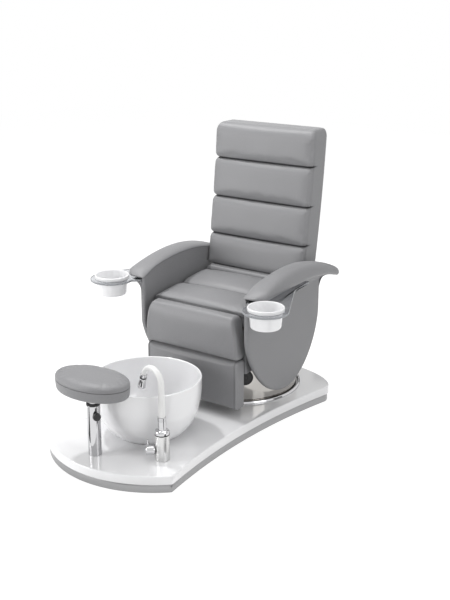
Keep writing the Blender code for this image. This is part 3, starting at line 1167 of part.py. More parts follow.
def main():
    """Build every piece, each on the axis that it moves with."""
    clear_scene()
    chair = make_axis("chair_axis", (0.0, 0.0, 0.0))
    back = make_axis("recline_axis", (0.0, hinge_axis_y(), HINGE_Z))
    rod_axis = make_axis("rod_axis", (0.0, hinge_axis_y(), HINGE_Z - CRANK_LENGTH))
    neck_axis = make_axis("neck_axis", (MIXER_X, MIXER_Y, SPOUT_TOP))
    handle_axis = make_axis("handle_axis", (MIXER_X, MIXER_Y, ON_SLAB + HANDLE_HEIGHT))
    post_axis = make_axis("post_axis", (FOOTREST_X, FOOTREST_Y, COLUMN_TOP))
    top_axis = make_axis("footrest_top_axis", (FOOTREST_X, FOOTREST_Y, POST_TOP))
    knob_axis = make_axis("knob_axis", (FOOTREST_X, FOOTREST_Y, COLUMN_TOP - KNOB_DROP))
    make_platform()
    make_swivel_base(chair)
    make_basin()
    make_mixer(neck_axis, handle_axis)
    make_footrest(post_axis, top_axis, knob_axis)
    make_seat_body(chair)
    make_seat_cushion(chair)
    make_front_pads(chair)
    make_backrest(chair, back)
    make_actuator(chair, rod_axis)
    for name, side in (("left", -1.0), ("right", 1.0)):
        cup_axis = make_axis("cup_axis_" + name, (side * TRAY_X, TRAY_Y, TRAY_TOP))
        make_arm(name, side, chair)
        make_tray(name, side, chair, cup_axis)


main()
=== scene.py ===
"""Looks of the podiatry chair: grey upholstery, gloss white platform and basin, polished metal, clear trays.

Metres, in the frame of the CAD model: +Z up, the sitter faces -Y, the mixer stands on the +X side.
"""
import math

import bmesh
import bpy
import numpy as np
from bpy.props import FloatProperty, FloatVectorProperty, IntProperty, PointerProperty
from mathutils import Matrix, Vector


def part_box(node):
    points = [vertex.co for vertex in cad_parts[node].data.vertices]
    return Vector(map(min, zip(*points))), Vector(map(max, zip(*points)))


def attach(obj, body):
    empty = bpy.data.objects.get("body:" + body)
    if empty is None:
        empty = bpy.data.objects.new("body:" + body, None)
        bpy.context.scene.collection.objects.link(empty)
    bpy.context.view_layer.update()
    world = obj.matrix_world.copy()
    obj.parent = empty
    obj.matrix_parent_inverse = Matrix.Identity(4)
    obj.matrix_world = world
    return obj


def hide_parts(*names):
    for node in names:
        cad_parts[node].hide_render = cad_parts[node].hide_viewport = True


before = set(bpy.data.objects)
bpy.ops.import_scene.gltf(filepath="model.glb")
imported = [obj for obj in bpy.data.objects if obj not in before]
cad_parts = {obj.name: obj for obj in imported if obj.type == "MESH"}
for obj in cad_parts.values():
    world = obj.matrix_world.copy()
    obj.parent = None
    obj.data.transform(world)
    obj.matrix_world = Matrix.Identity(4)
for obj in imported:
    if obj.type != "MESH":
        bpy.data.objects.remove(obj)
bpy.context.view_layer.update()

bl_info = {
    "name": "Podiatry Chair Looks",
    "version": (1, 0, 0),
    "blender": (4, 5, 0),
    "location": "3D View > Sidebar > Podiatry Chair",
    "description": "Makes the visible pieces of a podiatry chair over its CAD frame",
    "category": "Object",
}


def size(label, default, words):
    """A length that a user may change, in metres."""
    return FloatProperty(name=label, description=words, default=default, unit="LENGTH", precision=4)


def share(label, default, words):
    """A plain number from 0 to 1."""
    return FloatProperty(name=label, description=words, default=default, min=0.0, max=1.0, subtype="FACTOR")


def tint(label, default, words):
    """A linear colour."""
    return FloatVectorProperty(name=label, description=words, default=default, min=0.0, max=1.0, subtype="COLOR")


def bearing(label, degrees, words):
    """An angle, given in degrees."""
    return FloatProperty(name=label, description=words, default=math.radians(degrees), subtype="ANGLE")


def amount(label, default, words, least=0.0):
    """A plain number with a lower limit."""
    return FloatProperty(name=label, description=words, default=default, min=least)


class UpholsterySettings(bpy.types.PropertyGroup):
    """Grey upholstery and its filling."""
    colour: tint("Hide", (0.262, 0.262, 0.270), "Colour of the upholstery")
    shade: tint("Hide in the grain", (0.205, 0.205, 0.212), "Colour at the bottom of the grain")
    # Painted shade: a near-black colour laid along creases, seams, welts and the seat's joint with the knee roll
    seam_shade: tint("Seam shade", (0.022, 0.022, 0.024), "Colour at the bottom of the seams")
    roughness: share("Roughness", 0.46, "How dull the upholstery is")
    grain: size("Grain", 0.0016, "Distance between two pebbles of the grain")
    depth: size("Grain depth", 0.00012, "Height of the pebbles")
    pressure: amount("Pressure", 3.2, "Air pressure of the filling")
    frames: IntProperty(name="Frames", description="Steps that the filling takes to swell", default=14, min=2)
    swell: size("Swell", 0.006, "Furthest that the filling moves a point of the seat and the back")
    firm_swell: size("Firm swell", 0.003, "Furthest that it moves a point of the other pads")


class FinishSettings(bpy.types.PropertyGroup):
    """Colours of the hard finishes."""
    white: tint("Gloss white", (0.82, 0.82, 0.83), "Platform, basin and cups")
    neck: tint("Hose white", (0.80, 0.80, 0.795), "Gooseneck of the hand spray")
    chrome: tint("Chrome", (0.57, 0.57, 0.58), "Mixer, column and ring")
    mirror: tint("Drum mirror", (0.46, 0.445, 0.425), "Polished drum")
    steel: tint("Brushed steel", (0.66, 0.66, 0.655), "Mixer body")
    band: tint("Brushed band", (0.33, 0.33, 0.335), "Plinth")
    black: tint("Black", (0.012, 0.012, 0.013), "Rubber, plug and knob")
    paint: tint("Frame paint", (0.035, 0.035, 0.038), "Hidden metal")
    # Board: plywood darkened past its own colour, so that its edge in the gap beside the knee roll reads as painted
    # shade
    board: tint("Board", (0.11, 0.09, 0.07), "Stained plywood inside")
    acrylic: tint("Clear tray", (0.62, 0.63, 0.65), "Trays under the arms")
    edge: tint("Tray edge", (0.42, 0.43, 0.45), "Cut edges of the trays")


class PlatformSettings(bpy.types.PropertyGroup):
    """Hourglass platform."""
    front_y: size("Front apex", -1.170, "Y of the front apex")
    front_corner_y: size("Front corner", -1.026, "Y of the front corners")
    front_half: size("Front half-width", 0.358, "Half-width at the front corners")
    waist_y: size("Waist", -0.605, "Y of the waist")
    waist_half: size("Waist half-width", 0.330, "Half-width at the waist")
    rear_corner_y: size("Rear corner", 0.171, "Y of the rear corners")
    rear_half: size("Rear half-width", 0.425, "Half-width at the rear corners")
    rear_y: size("Rear apex", 0.355, "Y of the rear apex")
    edge: size("Edge radius", 0.007, "Round of the slab's top edge")
    recess: size("Plinth recess", 0.006, "How far the plinth stands back")


class BasinSettings(bpy.types.PropertyGroup):
    """Foot basin and its waste."""
    y: size("Centre", -0.737, "Y of the basin's axis")
    radius: size("Rim radius", 0.246, "Outer radius at the rim")
    foot: size("Foot radius", 0.1465, "Outer radius on the platform")
    wall: size("Wall", 0.009, "Thickness of the wall")
    bulge: amount("Bulge", 2.87, "Power of the bowl's outline", 1.0)


class MixerSettings(bpy.types.PropertyGroup):
    """Mixer, gooseneck and hand spray."""
    x: size("Mixer X", 0.228, "X of the mixer's axis")
    y: size("Mixer Y", -0.927, "Y of the mixer's axis")
    rise: size("Neck rise", 0.148, "Straight length of the neck")
    bend: size("Neck bend", 0.058, "Radius of the bend")
    barrel: size("Barrel", 0.0325, "Radius of the mixer's barrel")
    spout: size("Spout", 0.0180, "Radius of the spout tube")
    foot: size("Neck foot", 0.0148, "Radius of the neck at the spout")
    tip: size("Neck tip", 0.0108, "Radius of the neck at the spray")
    heading: bearing("Neck heading", 168.0, "Way that the neck bends")
    droop: bearing("Neck end", 15.0, "Angle of the bend's end")


class FootrestSettings(bpy.types.PropertyGroup):
    """Footrest on its post."""
    x: size("Footrest X", -0.046, "X of the column")
    y: size("Footrest Y", -1.052, "Y of the column")
    half_length: size("Half-length", 0.186, "Half-length of the oval pad")
    half_width: size("Half-width", 0.118, "Half-width of the oval pad")
    seam: size("Seam height", 0.048, "Height of the seam above the pad's underside")
    taper: size("Taper", 0.002, "How far the side draws in towards the underside")
    shoulder: size("Shoulder", 0.034, "Width of the round edge above the seam")


class SeatSettings(bpy.types.PropertyGroup):
    """Seat cushion, knee roll and leg pad."""
    half: size("Seat half-width", 0.278, "Half-width of the seat cushion")
    front_y: size("Seat front", -0.341, "Y of the seat's front")
    rear_y: size("Seat rear", 0.163, "Y of the seat's rear")
    front_top: size("Front top", 0.586, "Height of the seat at its front")
    rear_top: size("Rear top", 0.634, "Height of the seat at its rear")
    crease: size("Crease depth", 0.016, "Depth of the sewn creases")
    crown: size("Crown", 0.012, "Rise of the seat's middle above its edges")


class BackSettings(bpy.types.PropertyGroup):
    """Backrest cushion."""
    half: size("Back half-width", 0.284, "Half-width of the backrest")
    bottom: size("Back bottom", 0.640, "Height of the backrest's underside")
    top: size("Back top", 1.350, "Height of the backrest's top")
    front_y: size("Back front", 0.121, "Y of the front at the bottom")
    thickness: size("Back thickness", 0.145, "From the front of the pillows to the rear")
    lean: bearing("Lean", 7.4, "Lean of the back at rest")
    sag: size("Sag", 0.010, "How far the middle lies behind the straight lean")
    crease: size("Crease depth", 0.021, "Depth of the sewn creases")
    groove: size("Border groove", 0.009, "Depth of the seam between pillows and border")
    ridge: size("Ridge", 0.008, "How far the top pillow swells above the frame")
    belly: size("Belly", 0.005, "How far the pillows swell past the sides, above the arms")


class ArmSettings(bpy.types.PropertyGroup):
    """Arm panels and pads."""
    inner: size("Arm inner face", 0.2875, "X of the panel's inner face")
    thickness: size("Panel thickness", 0.027, "Thickness of the panel")
    front_y: size("Panel front", -0.392, "Y of the panel's front edge")
    rear_y: size("Panel rear", 0.265, "Y of the panel's rear edge")
    bottom: size("Panel tip", 0.127, "Height of the panel's lowest point")
    pad_outer: size("Pad outer edge", 0.401, "X of the pad's outer edge")
    pad_peak: size("Pad peak", 0.762, "Height of the pad's highest point")
    seam: share("Inner seam", 0.70, "Height of the pad's inner seam, as a share of the pad's height")


class TraySettings(bpy.types.PropertyGroup):
    """Clear trays and their cups."""
    x: size("Tray X", 0.443, "X of the cup's axis")
    y: size("Tray Y", -0.448, "Y of the cup's axis")
    radius: size("Ring radius", 0.105, "Outer radius of the ring plate")
    lip: size("Cup lip", 0.084, "Radius of the cup's lip")
    base: size("Cup base", 0.071, "Radius of the cup's base")


class StageSettings(bpy.types.PropertyGroup):
    """Camera, floor and lamps."""
    azimuth: bearing("Azimuth", 34.54, "Turn of the camera")
    pitch: bearing("Pitch", 17.92, "Fall of the view")
    lens: amount("Lens", 59.86, "Focal length in millimetres", 1.0)
    key: amount("Key", 84.0, "Power of the small lamp above on the left, in watts")
    top: amount("Top", 62.0, "Power of the wide lamp overhead, in watts")
    left: amount("Left", 84.0, "Power of the left lamp, in watts")
    right: amount("Right", 38.0, "Power of the right lamp, in watts")
    ambient: amount("Ambient", 0.47, "Strength of the room's light")
    lift: amount("Floor lift", 0.83, "Glow that lifts the floor to white")


GROUPS = {
    "chair_upholstery": UpholsterySettings,
    "chair_finish": FinishSettings,
    "chair_platform": PlatformSettings,
    "chair_basin": BasinSettings,
    "chair_mixer": MixerSettings,
    "chair_footrest": FootrestSettings,
    "chair_seat": SeatSettings,
    "chair_back": BackSettings,
    "chair_arm": ArmSettings,
    "chair_tray": TraySettings,
    "chair_stage": StageSettings,
}
SIDES = (("left", -1.0), ("right", 1.0))


def chosen(group):
    """The settings of one group of pieces."""
    return getattr(bpy.context.scene, group)


# Surfaces

def run(points, axis):
    """Mean arc length along one direction of a grid, as if it closed on itself."""
    first = np.take(points, [0], axis=axis)
    step = np.linalg.norm(np.diff(points, axis=axis, append=first), axis=2).mean(axis=1 - axis)
    return np.concatenate([[0.0], np.cumsum(step)])


def surface(name, points, wrap=(False, False), held=None, sharp=50.0, seam=None):
    """A mesh over a grid P(i, j): quads between neighbours, closed round i or j where wrap says so.

    Rows that shrink to a point become poles. The UV map is the mean arc length along i and j, in metres.
    held is a weight for each point, 1 where the cover is sewn down, and seam is 1 on a line of painted shade along a
    seam or crease.
    """
    points = np.asarray(points, float)
    rows, columns = points.shape[:2]
    index = np.arange(rows * columns).reshape(rows, columns)
    i = np.arange(rows if wrap[0] else rows - 1)
    j = np.arange(columns if wrap[1] else columns - 1)
    corners = ((0, 0), (1, 0), (1, 1), (0, 1))
    quads = np.stack([index[np.ix_((i + a) % rows, (j + b) % columns)] for a, b in corners], axis=-1)
    run_i, run_j = run(points, 0), run(points, 1)
    maps = [np.stack(np.meshgrid(run_i[i + a], run_j[j + b], indexing="ij"), axis=-1) for a, b in corners]
    mesh = bpy.data.meshes.new(name)
    mesh.from_pydata(points.reshape(-1, 3).tolist(), [], quads.reshape(-1, 4).tolist())
    mesh.uv_layers.new(name="UVMap").data.foreach_set("uv", np.stack(maps, axis=2).reshape(-1))
    for label, weight in (("held", held), ("seam", seam)):
        if weight is not None:
            weight = np.broadcast_to(weight, points.shape[:2]).astype(np.float32)
            mesh.attributes.new(label, "FLOAT", "POINT").data.foreach_set("value", weight.reshape(-1))
    shape = bmesh.new()
    shape.from_mesh(mesh)
    bmesh.ops.remove_doubles(shape, verts=shape.verts, dist=1e-6)
    bmesh.ops.recalc_face_normals(shape, faces=shape.faces)
    shape.to_mesh(mesh)
    shape.free()
    mesh.shade_smooth()
    mesh.set_sharp_from_angle(angle=math.radians(sharp))
    piece = bpy.data.objects.new(name, mesh)
    bpy.context.scene.collection.objects.link(piece)
    return piece


def unit(vectors):
    """Vectors of length 1."""
    vectors = np.asarray(vectors, float)
    return vectors / np.linalg.norm(vectors, axis=-1, keepdims=True)


def axes(axis):
    """X, Y and Z directions of a turned piece whose Z is its axis."""
    z = unit(axis)
    x = unit(np.cross((0.0, 1.0, 0.0) if abs(z[1]) < 0.9 else (1.0, 0.0, 0.0), z))
    return x, np.cross(z, x), z


def resample(line, count):
    """Points spaced evenly along a polyline."""
    line = np.asarray(line, float)
    length = np.concatenate([[0.0], np.cumsum(np.linalg.norm(np.diff(line, axis=0), axis=1))])
    even = np.linspace(0.0, length[-1], count)
    return np.stack([np.interp(even, length, line[:, k]) for k in range(line.shape[1])], axis=1)


def smooth(t):
    """A step from 0 to 1 that starts and ends level."""
    t = np.clip(t, 0.0, 1.0)
    return t * t * (3.0 - 2.0 * t)


def spaced(start, end, count, closer, reach=0.03, extra=21):
    """Stations from start to end, closer together round the given places and at both ends."""
    swing = np.linspace(0.0, math.pi, count)
    base = start + (end - start) * (0.5 - 0.5 * np.cos(swing)) * 0.5 + np.linspace(0.0, 0.5, count) * (end - start)
    near = [place + reach * np.sign(t) * np.abs(t) ** 1.6 for place in closer for t in [np.linspace(-1.0, 1.0, extra)]]
    stations = np.sort(np.concatenate([base, *near]))
    stations = stations[(stations >= start) & (stations <= end)]
    return stations[np.concatenate([[True], np.diff(stations) > 4e-4])]


def rounding(distance, radius):
    """Fall of a round edge: 0 a radius away from it, and the whole radius at the edge."""
    inner = np.clip(1.0 - distance / radius, 0.0, 1.0)
    return radius * (1.0 - np.sqrt(np.maximum(0.0, 1.0 - inner ** 2)))


def capped(points, shares=(0.0, 0.35, 0.7, 0.94), bulge=0.0):
    """Close both ends of a stack of rings: each end shrinks to its own middle and may bulge out."""
    shares = np.asarray(shares)[:, None, None]
    first, last = points[0].mean(axis=0), points[-1].mean(axis=0)
    out = unit(last - first) * bulge * (1.0 - shares ** 2)
    start = first + (points[0] - first) * shares - out
    end = last + (points[-1] - last) * shares[::-1] + out[::-1]
    return np.concatenate([start, points, end])


def padded_ends(weights, fill=1.0, count=4):
    """Weights for the caps that capped() adds."""
    ends = np.full((count, weights.shape[1]), fill)
    return np.concatenate([ends, weights, ends])


def rounded(corners, radii, steps=4):
    """A polyline whose inner corners are parabolas that start and end a radius away from each corner."""
    corners = np.asarray(corners, float)
    before, here, after = corners[:-2], corners[1:-1], corners[2:]
    radii = np.broadcast_to(radii, len(here))[:, None]
    back, ahead = before - here, after - here
    back_length = np.linalg.norm(back, axis=1, keepdims=True)
    ahead_length = np.linalg.norm(ahead, axis=1, keepdims=True)
    start = (here + back / back_length * np.minimum(radii, 0.49 * back_length))[:, None]
    end = (here + ahead / ahead_length * np.minimum(radii, 0.49 * ahead_length))[:, None]
    t = np.linspace(0.0, 1.0, steps + 1)[None, :, None]
    bends = (1.0 - t) ** 2 * start + 2.0 * t * (1.0 - t) * here[:, None] + t ** 2 * end
    return np.concatenate([corners[:1], bends.reshape(-1, corners.shape[1]), corners[-1:]])


def turned(name, profile, origin=(0.0, 0.0, 0.0), axis=(0.0, 0.0, 1.0), count=128, ridges=0, depth=0.0, sharp=40.0):
    """A turned surface P(t, a) = origin + r(t) (1 + d(t) cos(n a)) (cos a X + sin a Y) + h(t) Z.

    A profile that starts and ends on the axis closes with poles, and any other closes on itself.
    """
    profile = np.asarray(profile, float)
    x, y, z = axes(axis)
    angle = np.linspace(0.0, 2.0 * np.pi, count, endpoint=False)
    ripple = 1.0 + np.broadcast_to(depth, len(profile))[:, None] * np.cos(ridges * angle)[None]
    spoke = np.cos(angle)[:, None] * x + np.sin(angle)[:, None] * y
    points = np.asarray(origin) + (profile[:, :1] * ripple)[..., None] * spoke + profile[:, 1, None, None] * z
    closed = profile[0, 0] > 0.0 or profile[-1, 0] > 0.0
    return surface(name, points, (closed, True), sharp=sharp)


def tube(name, path, radius, up, count=24):
    """A round tube P(s, a) = path(s) + r(s) (cos a N + sin a B), with poles at both ends; N is square to up."""
    path = np.asarray(path, float)
    along = unit(np.gradient(path, axis=0))
    across = unit(np.cross(along, up))
    over = np.cross(across, along)
    rows = np.concatenate([[0], np.arange(len(path)), [len(path) - 1]])
    radii = np.broadcast_to(radius, len(path))[rows].copy()
    radii[[0, -1]] = 0.0
    angle = np.linspace(0.0, 2.0 * np.pi, count, endpoint=False)
    ring = np.cos(angle)[None, :, None] * across[rows][:, None] + np.sin(angle)[None, :, None] * over[rows][:, None]
    return surface(name, path[rows][:, None] + radii[:, None, None] * ring, (False, True))


def dress(piece, body, finish, nodes=()):
    """Give a piece its finish and its body, and hide the CAD nodes that it stands for."""
    piece.data.materials.append(FINISH[finish])
    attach(piece, body)
    if nodes:
        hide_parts(*nodes)
    return piece


def sleeve(name, node, place, out, edge, body, finish, bore=0.0):
    """A turned rod, or a sleeve with a bore, over the height of the CAD node that it stands for, with round edges."""
    low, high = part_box(node)
    profile = rounded([(bore, low.z), (out, low.z), (out, high.z), (bore, high.z)], edge)
    dress(turned(name, profile, place, count=96), body, finish, (node,))


def subdivide(piece):
    """One smooth subdivision, the same in the view and in the render."""
    modifier = piece.modifiers.new("Smooth cover", "SUBSURF")
    modifier.levels = 1
    modifier.render_levels = 1


CLOTH = {"quality": 4, "mass": 0.3, "tension_stiffness": 15.0, "compression_stiffness": 15.0, "bending_stiffness": 4.0}


def stuff(piece, settings, swell):
    """Fill a cover with air as cloth: points whose held weight is 1 stay sewn down, the rest move up to the swell."""
    mesh = piece.data
    count = len(mesh.vertices)
    held = np.zeros(count, np.float32)
    mesh.attributes["held"].data.foreach_get("value", held)
    rest = np.zeros(count * 3, np.float32)
    mesh.vertices.foreach_get("co", rest)
    group = piece.vertex_groups.new(name="sewn")
    for weight in np.unique(np.round(held, 1)):
        members = np.flatnonzero(np.round(held, 1) == weight)
        group.add(members.tolist(), float(weight), "REPLACE")
    cloth = piece.modifiers.new("Filling", "CLOTH")
    for setting, value in CLOTH.items():
        setattr(cloth.settings, setting, value)
    cloth.settings.vertex_group_mass = group.name
    cloth.settings.use_pressure = True
    cloth.settings.uniform_pressure_force = settings.pressure
    cloth.settings.effector_weights.gravity = 0.0
    cloth.point_cache.frame_start = 1
    cloth.point_cache.frame_end = settings.frames
    scene = bpy.context.scene
    for step in range(1, settings.frames + 1):
        scene.frame_set(step)
    filled = piece.evaluated_get(bpy.context.evaluated_depsgraph_get())
    swollen = np.zeros(count * 3, np.float32)
    filled.data.vertices.foreach_get("co", swollen)
    move = (swollen - rest).reshape(-1, 3)
    length = np.linalg.norm(move, axis=1, keepdims=True)
    move *= swell * np.tanh(length / swell) / np.maximum(length, 1e-9)
    piece.modifiers.remove(cloth)
    piece.vertex_groups.remove(group)
    mesh.vertices.foreach_set("co", rest + move.reshape(-1))
    scene.frame_set(1)
    mesh.update()
    subdivide(piece)
    return piece


# Finishes

FINISH = {}


def socketed(name, **values):
    """A new Principled material with values set on its own sockets."""
    material = bpy.data.materials.new(name)
    material.use_nodes = True
    shader = material.node_tree.nodes["Principled BSDF"]
    for socket, value in values.items():
        shader.inputs[socket.replace("_", " ")].default_value = value
    return material, material.node_tree.nodes, material.node_tree.links, shader


def noise_on(nodes, links, coordinates, scale, detail=4.0, stretch=(1.0, 1.0, 1.0)):
    """Noise on the piece's own coordinates, drawn out along the axes with a small stretch."""
    place = nodes.new("ShaderNodeTexCoord")
    mapping = nodes.new("ShaderNodeMapping")
    mapping.inputs["Scale"].default_value = stretch
    noise = nodes.new("ShaderNodeTexNoise")
    noise.inputs["Scale"].default_value = scale
    noise.inputs["Detail"].default_value = detail
    links.new(place.outputs[coordinates], mapping.inputs["Vector"])
    links.new(mapping.outputs["Vector"], noise.inputs["Vector"])
    return noise.outputs["Fac"]


def blend_of(nodes, links, factor, low, high):
    """A colour between two, each a plain colour or a socket, by a factor."""
    mix = nodes.new("ShaderNodeMix")
    mix.data_type = "RGBA"
    links.new(factor, mix.inputs[0])
    for socket, value in ((mix.inputs[6], low), (mix.inputs[7], high)):
        if isinstance(value, bpy.types.NodeSocket):
            links.new(value, socket)
        else:
            socket.default_value = (*value, 1.0)
    return mix.outputs[2]


def spread_of(nodes, links, factor, low, high, start=0.3, end=0.7):
    """A number between two, by a factor that runs from start to end."""
    spread = nodes.new("ShaderNodeMapRange")
    spread.inputs["From Min"].default_value = start
    spread.inputs["From Max"].default_value = end
    spread.inputs["To Min"].default_value = low
    spread.inputs["To Max"].default_value = high
    links.new(factor, spread.inputs["Value"])
    return spread.outputs["Result"]


def bump_of(nodes, links, height, distance, strength, under=None):
    """A bump of a real height in metres, on top of another."""
    bump = nodes.new("ShaderNodeBump")
    bump.inputs["Strength"].default_value = strength
    bump.inputs["Distance"].default_value = distance
    links.new(height, bump.inputs["Height"])
    if under is not None:
        links.new(under, bump.inputs["Normal"])
    return bump.outputs["Normal"]


def varied(name, colour, rough, scale, spread=0.05, bump=0.0, coordinates="Object", stretch=(1.0, 1.0, 1.0), **values):
    """A finish whose colour, roughness and relief wander with one noise."""
    material, nodes, links, shader = socketed(name, **values)
    factor = noise_on(nodes, links, coordinates, scale, stretch=stretch)
    low = tuple(c * (1.0 - spread) for c in colour)
    high = tuple(min(1.0, c * (1.0 + spread)) for c in colour)
    links.new(blend_of(nodes, links, factor, low, high), shader.inputs["Base Color"])
    links.new(spread_of(nodes, links, factor, *rough), shader.inputs["Roughness"])
    if bump > 0.0:
        links.new(bump_of(nodes, links, factor, bump, 0.5), shader.inputs["Normal"])
    return material


def hide_finish(settings):
    """Upholstery: pebbled grain, soft clouds of tone, painted shade along seams and creases, and a dull sheen that
    changes with them.
    """
    material, nodes, links, shader = socketed("grey_upholstery", Specular_IOR_Level=0.42, Sheen_Weight=0.06,
                                              Sheen_Roughness=0.4)
    clouds = noise_on(nodes, links, "Object", 7.0, 3.0)
    place = nodes.new("ShaderNodeTexCoord")
    pebbles = nodes.new("ShaderNodeTexVoronoi")
    pebbles.feature = "DISTANCE_TO_EDGE"
    pebbles.inputs["Scale"].default_value = 1.0 / settings.grain
    links.new(place.outputs["Object"], pebbles.inputs["Vector"])
    relief = spread_of(nodes, links, pebbles.outputs["Distance"], 0.0, 1.0, 0.0, 0.35)
    body = tuple(settings.colour)
    light = tuple(c * 1.10 for c in body)
    tone = blend_of(nodes, links, spread_of(nodes, links, clouds, 0.0, 1.0), body, light)
    grained = blend_of(nodes, links, relief, tuple(settings.shade), tone)
    # Painted shade: the seam attribute mixes the colour towards near black along creases, seams and welts
    sewn = nodes.new("ShaderNodeAttribute")
    sewn.attribute_name = "seam"
    seam_shaded = blend_of(nodes, links, sewn.outputs["Fac"], grained, tuple(settings.seam_shade))
    links.new(seam_shaded, shader.inputs["Base Color"])
    rough = spread_of(nodes, links, clouds, settings.roughness - 0.04, settings.roughness + 0.06)
    links.new(rough, shader.inputs["Roughness"])
    creases = noise_on(nodes, links, "Object", 42.0, 2.0)
    under = bump_of(nodes, links, creases, 0.0006, 0.25)
    links.new(bump_of(nodes, links, relief, settings.depth, 0.6, under), shader.inputs["Normal"])
    return material


def make_finishes(hide, hard):
    """Every material of the chair, by the name that the pieces use."""
    white = tuple(hard.white)
    brushed = dict(coordinates="UV", Metallic=1.0, Anisotropic=0.6)
    return {
        "hide": hide_finish(hide),
        "white": varied("gloss_white", white, (0.07, 0.14), 14.0, 0.02, Coat_Weight=0.5, Coat_Roughness=0.05),
        "neck": varied("hose_white", tuple(hard.neck), (0.28, 0.40), 60.0, 0.03, bump=0.0001),
        "chrome": varied("polished_chrome", tuple(hard.chrome), (0.04, 0.09), 45.0, 0.03, Metallic=1.0),
        "mirror": varied("drum_mirror", tuple(hard.mirror), (0.05, 0.10), 9.0, 0.04, Metallic=1.0),
        "steel": varied("brushed_steel", tuple(hard.steel), (0.24, 0.40), 4.0, 0.08, 0.00004,
                        stretch=(420.0, 3.0, 1.0), **brushed),
        "band": varied("brushed_band", tuple(hard.band), (0.26, 0.40), 4.0, 0.08, 0.00004,
                       stretch=(420.0, 2.0, 1.0), **brushed),
        "rubber": varied("black_rubber", tuple(hard.black), (0.45, 0.62), 700.0, 0.15, 0.0001),
        "knob": varied("black_plastic", tuple(hard.black), (0.30, 0.42), 500.0, 0.12, 0.00005),
        "paint": varied("black_paint", tuple(hard.paint), (0.38, 0.52), 300.0, 0.10, 0.00005),
        # Partly painted shade: the board is kept dark so that it reads as shade in the gap beside the knee roll
        "board": varied("plywood", tuple(hard.board), (0.55, 0.70), 8.0, 0.25, 0.0002, stretch=(1.0, 14.0, 14.0)),
        "acrylic": varied("clear_acrylic", tuple(hard.acrylic), (0.03, 0.07), 30.0, 0.01,
                          Transmission_Weight=0.92, IOR=1.22),
        "edge": varied("acrylic_edge", tuple(hard.edge), (0.25, 0.38), 80.0, 0.03,
                       Transmission_Weight=0.35, IOR=1.3),
        "card": varied("dark_card", (0.03, 0.03, 0.032), (0.8, 0.9), 20.0),
    }


# Platform and swivel base

CORNER_SOFTENING = 1.6      # spread of the corner rounding, in steps of the outline
SLAB_CHAMFER = 0.0012       # along the slab's lower edge
PLINTH_SHEET = 0.002
PLINTH_CHAMFER = 0.0006
RING_WIDTH = 0.014
DRUM_SHEET = 0.003
DRUM_MOUTH = 0.25           # radius of the opening in the drum's top
PLUG_RADIUS = 0.0397
PLUG_DEPTH = 0.016
PLUG_HEADING = math.radians(-50.0)


def plan(settings, inset, steps=480):
    """Hourglass plan drawn in by an inset, from the front apex anticlockwise.

    A circle in front, sides x = w + (e - w) s^2 with s running from the waist to each corner, and an
    ellipse behind, spaced evenly; a Gaussian mean over a few millimetres rounds the corners.
    """
    sagitta = settings.front_corner_y - settings.front_y
    radius = (settings.front_half ** 2 + sagitta ** 2) / (2.0 * sagitta)
    turn = np.linspace(0.0, math.asin(settings.front_half / radius), 200)
    front = np.stack([radius * np.sin(turn), settings.front_y + radius * (1.0 - np.cos(turn))], axis=1)
    y = np.linspace(settings.front_corner_y, settings.rear_corner_y, 400)[1:]
    ahead = y < settings.waist_y
    end_y = np.where(ahead, settings.front_corner_y, settings.rear_corner_y)
    end_half = np.where(ahead, settings.front_half, settings.rear_half)
    along = (y - settings.waist_y) / (end_y - settings.waist_y)
    side = np.stack([settings.waist_half + (end_half - settings.waist_half) * along ** 2, y], axis=1)
    swing = np.linspace(0.0, math.pi / 2.0, 300)[1:]
    depth = settings.rear_y - settings.rear_corner_y
    rear = np.stack([settings.rear_half * np.cos(swing), settings.rear_corner_y + depth * np.sin(swing)], axis=1)
    half = np.concatenate([front, side, rear])
    half = resample(half, steps + 1)
    half[[0, -1], 0] = 0.0
    loop = np.concatenate([half, half[-2:0:-1] * (-1.0, 1.0)])
    shifts = np.arange(-6, 7)
    weights = np.exp(-0.5 * (shifts / CORNER_SOFTENING) ** 2)
    loop = sum(w * np.roll(loop, k, axis=0) for k, w in zip(shifts, weights / weights.sum()))
    tangent = unit(np.roll(loop, -1, axis=0) - np.roll(loop, 1, axis=0))
    outward = np.stack([tangent[:, 1], -tangent[:, 0]], axis=1)
    return loop - inset * outward


def edged(settings, rows):
    """Rows of the plan at (inset, z), as a grid."""
    loops = [plan(settings, inset) for inset, z in rows]
    return np.stack([np.column_stack([loop, np.full(len(loop), z)]) for loop, (inset, z) in zip(loops, rows)])


def make_platform(settings):
    """White slab with a round top edge, closed along its spine, over a brushed band."""
    low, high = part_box("platform_slab")
    round_over = np.radians(np.linspace(0.0, 90.0, 9))
    rows = [(SLAB_CHAMFER, low.z), (0.0, low.z + SLAB_CHAMFER)]
    rows += [(settings.edge * (1.0 - math.cos(a)), high.z - settings.edge * (1.0 - math.sin(a))) for a in round_over]
    grid = edged(settings, rows)
    inward = np.array([0.985, 0.94, 0.5, 0.0])[:, None, None] * (1.0, 0.0, 0.0) + (0.0, 1.0, 1.0)
    slab = surface("white_slab", np.concatenate([grid[:1] * inward[::-1], grid, grid[-1:] * inward]), (False, True))
    dress(slab, "platform", "white", ("platform_slab",))
    low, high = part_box("plinth_skirt")
    out, back, cut = settings.recess, settings.recess + PLINTH_SHEET, PLINTH_CHAMFER
    rows = [(out + cut, low.z), (out, low.z + cut), (out, high.z - cut), (out + cut, high.z), (back, high.z),
            (back, low.z)]
    band = surface("plinth_band", edged(settings, rows), (True, True))
    dress(band, "platform", "band", ("plinth_skirt",))


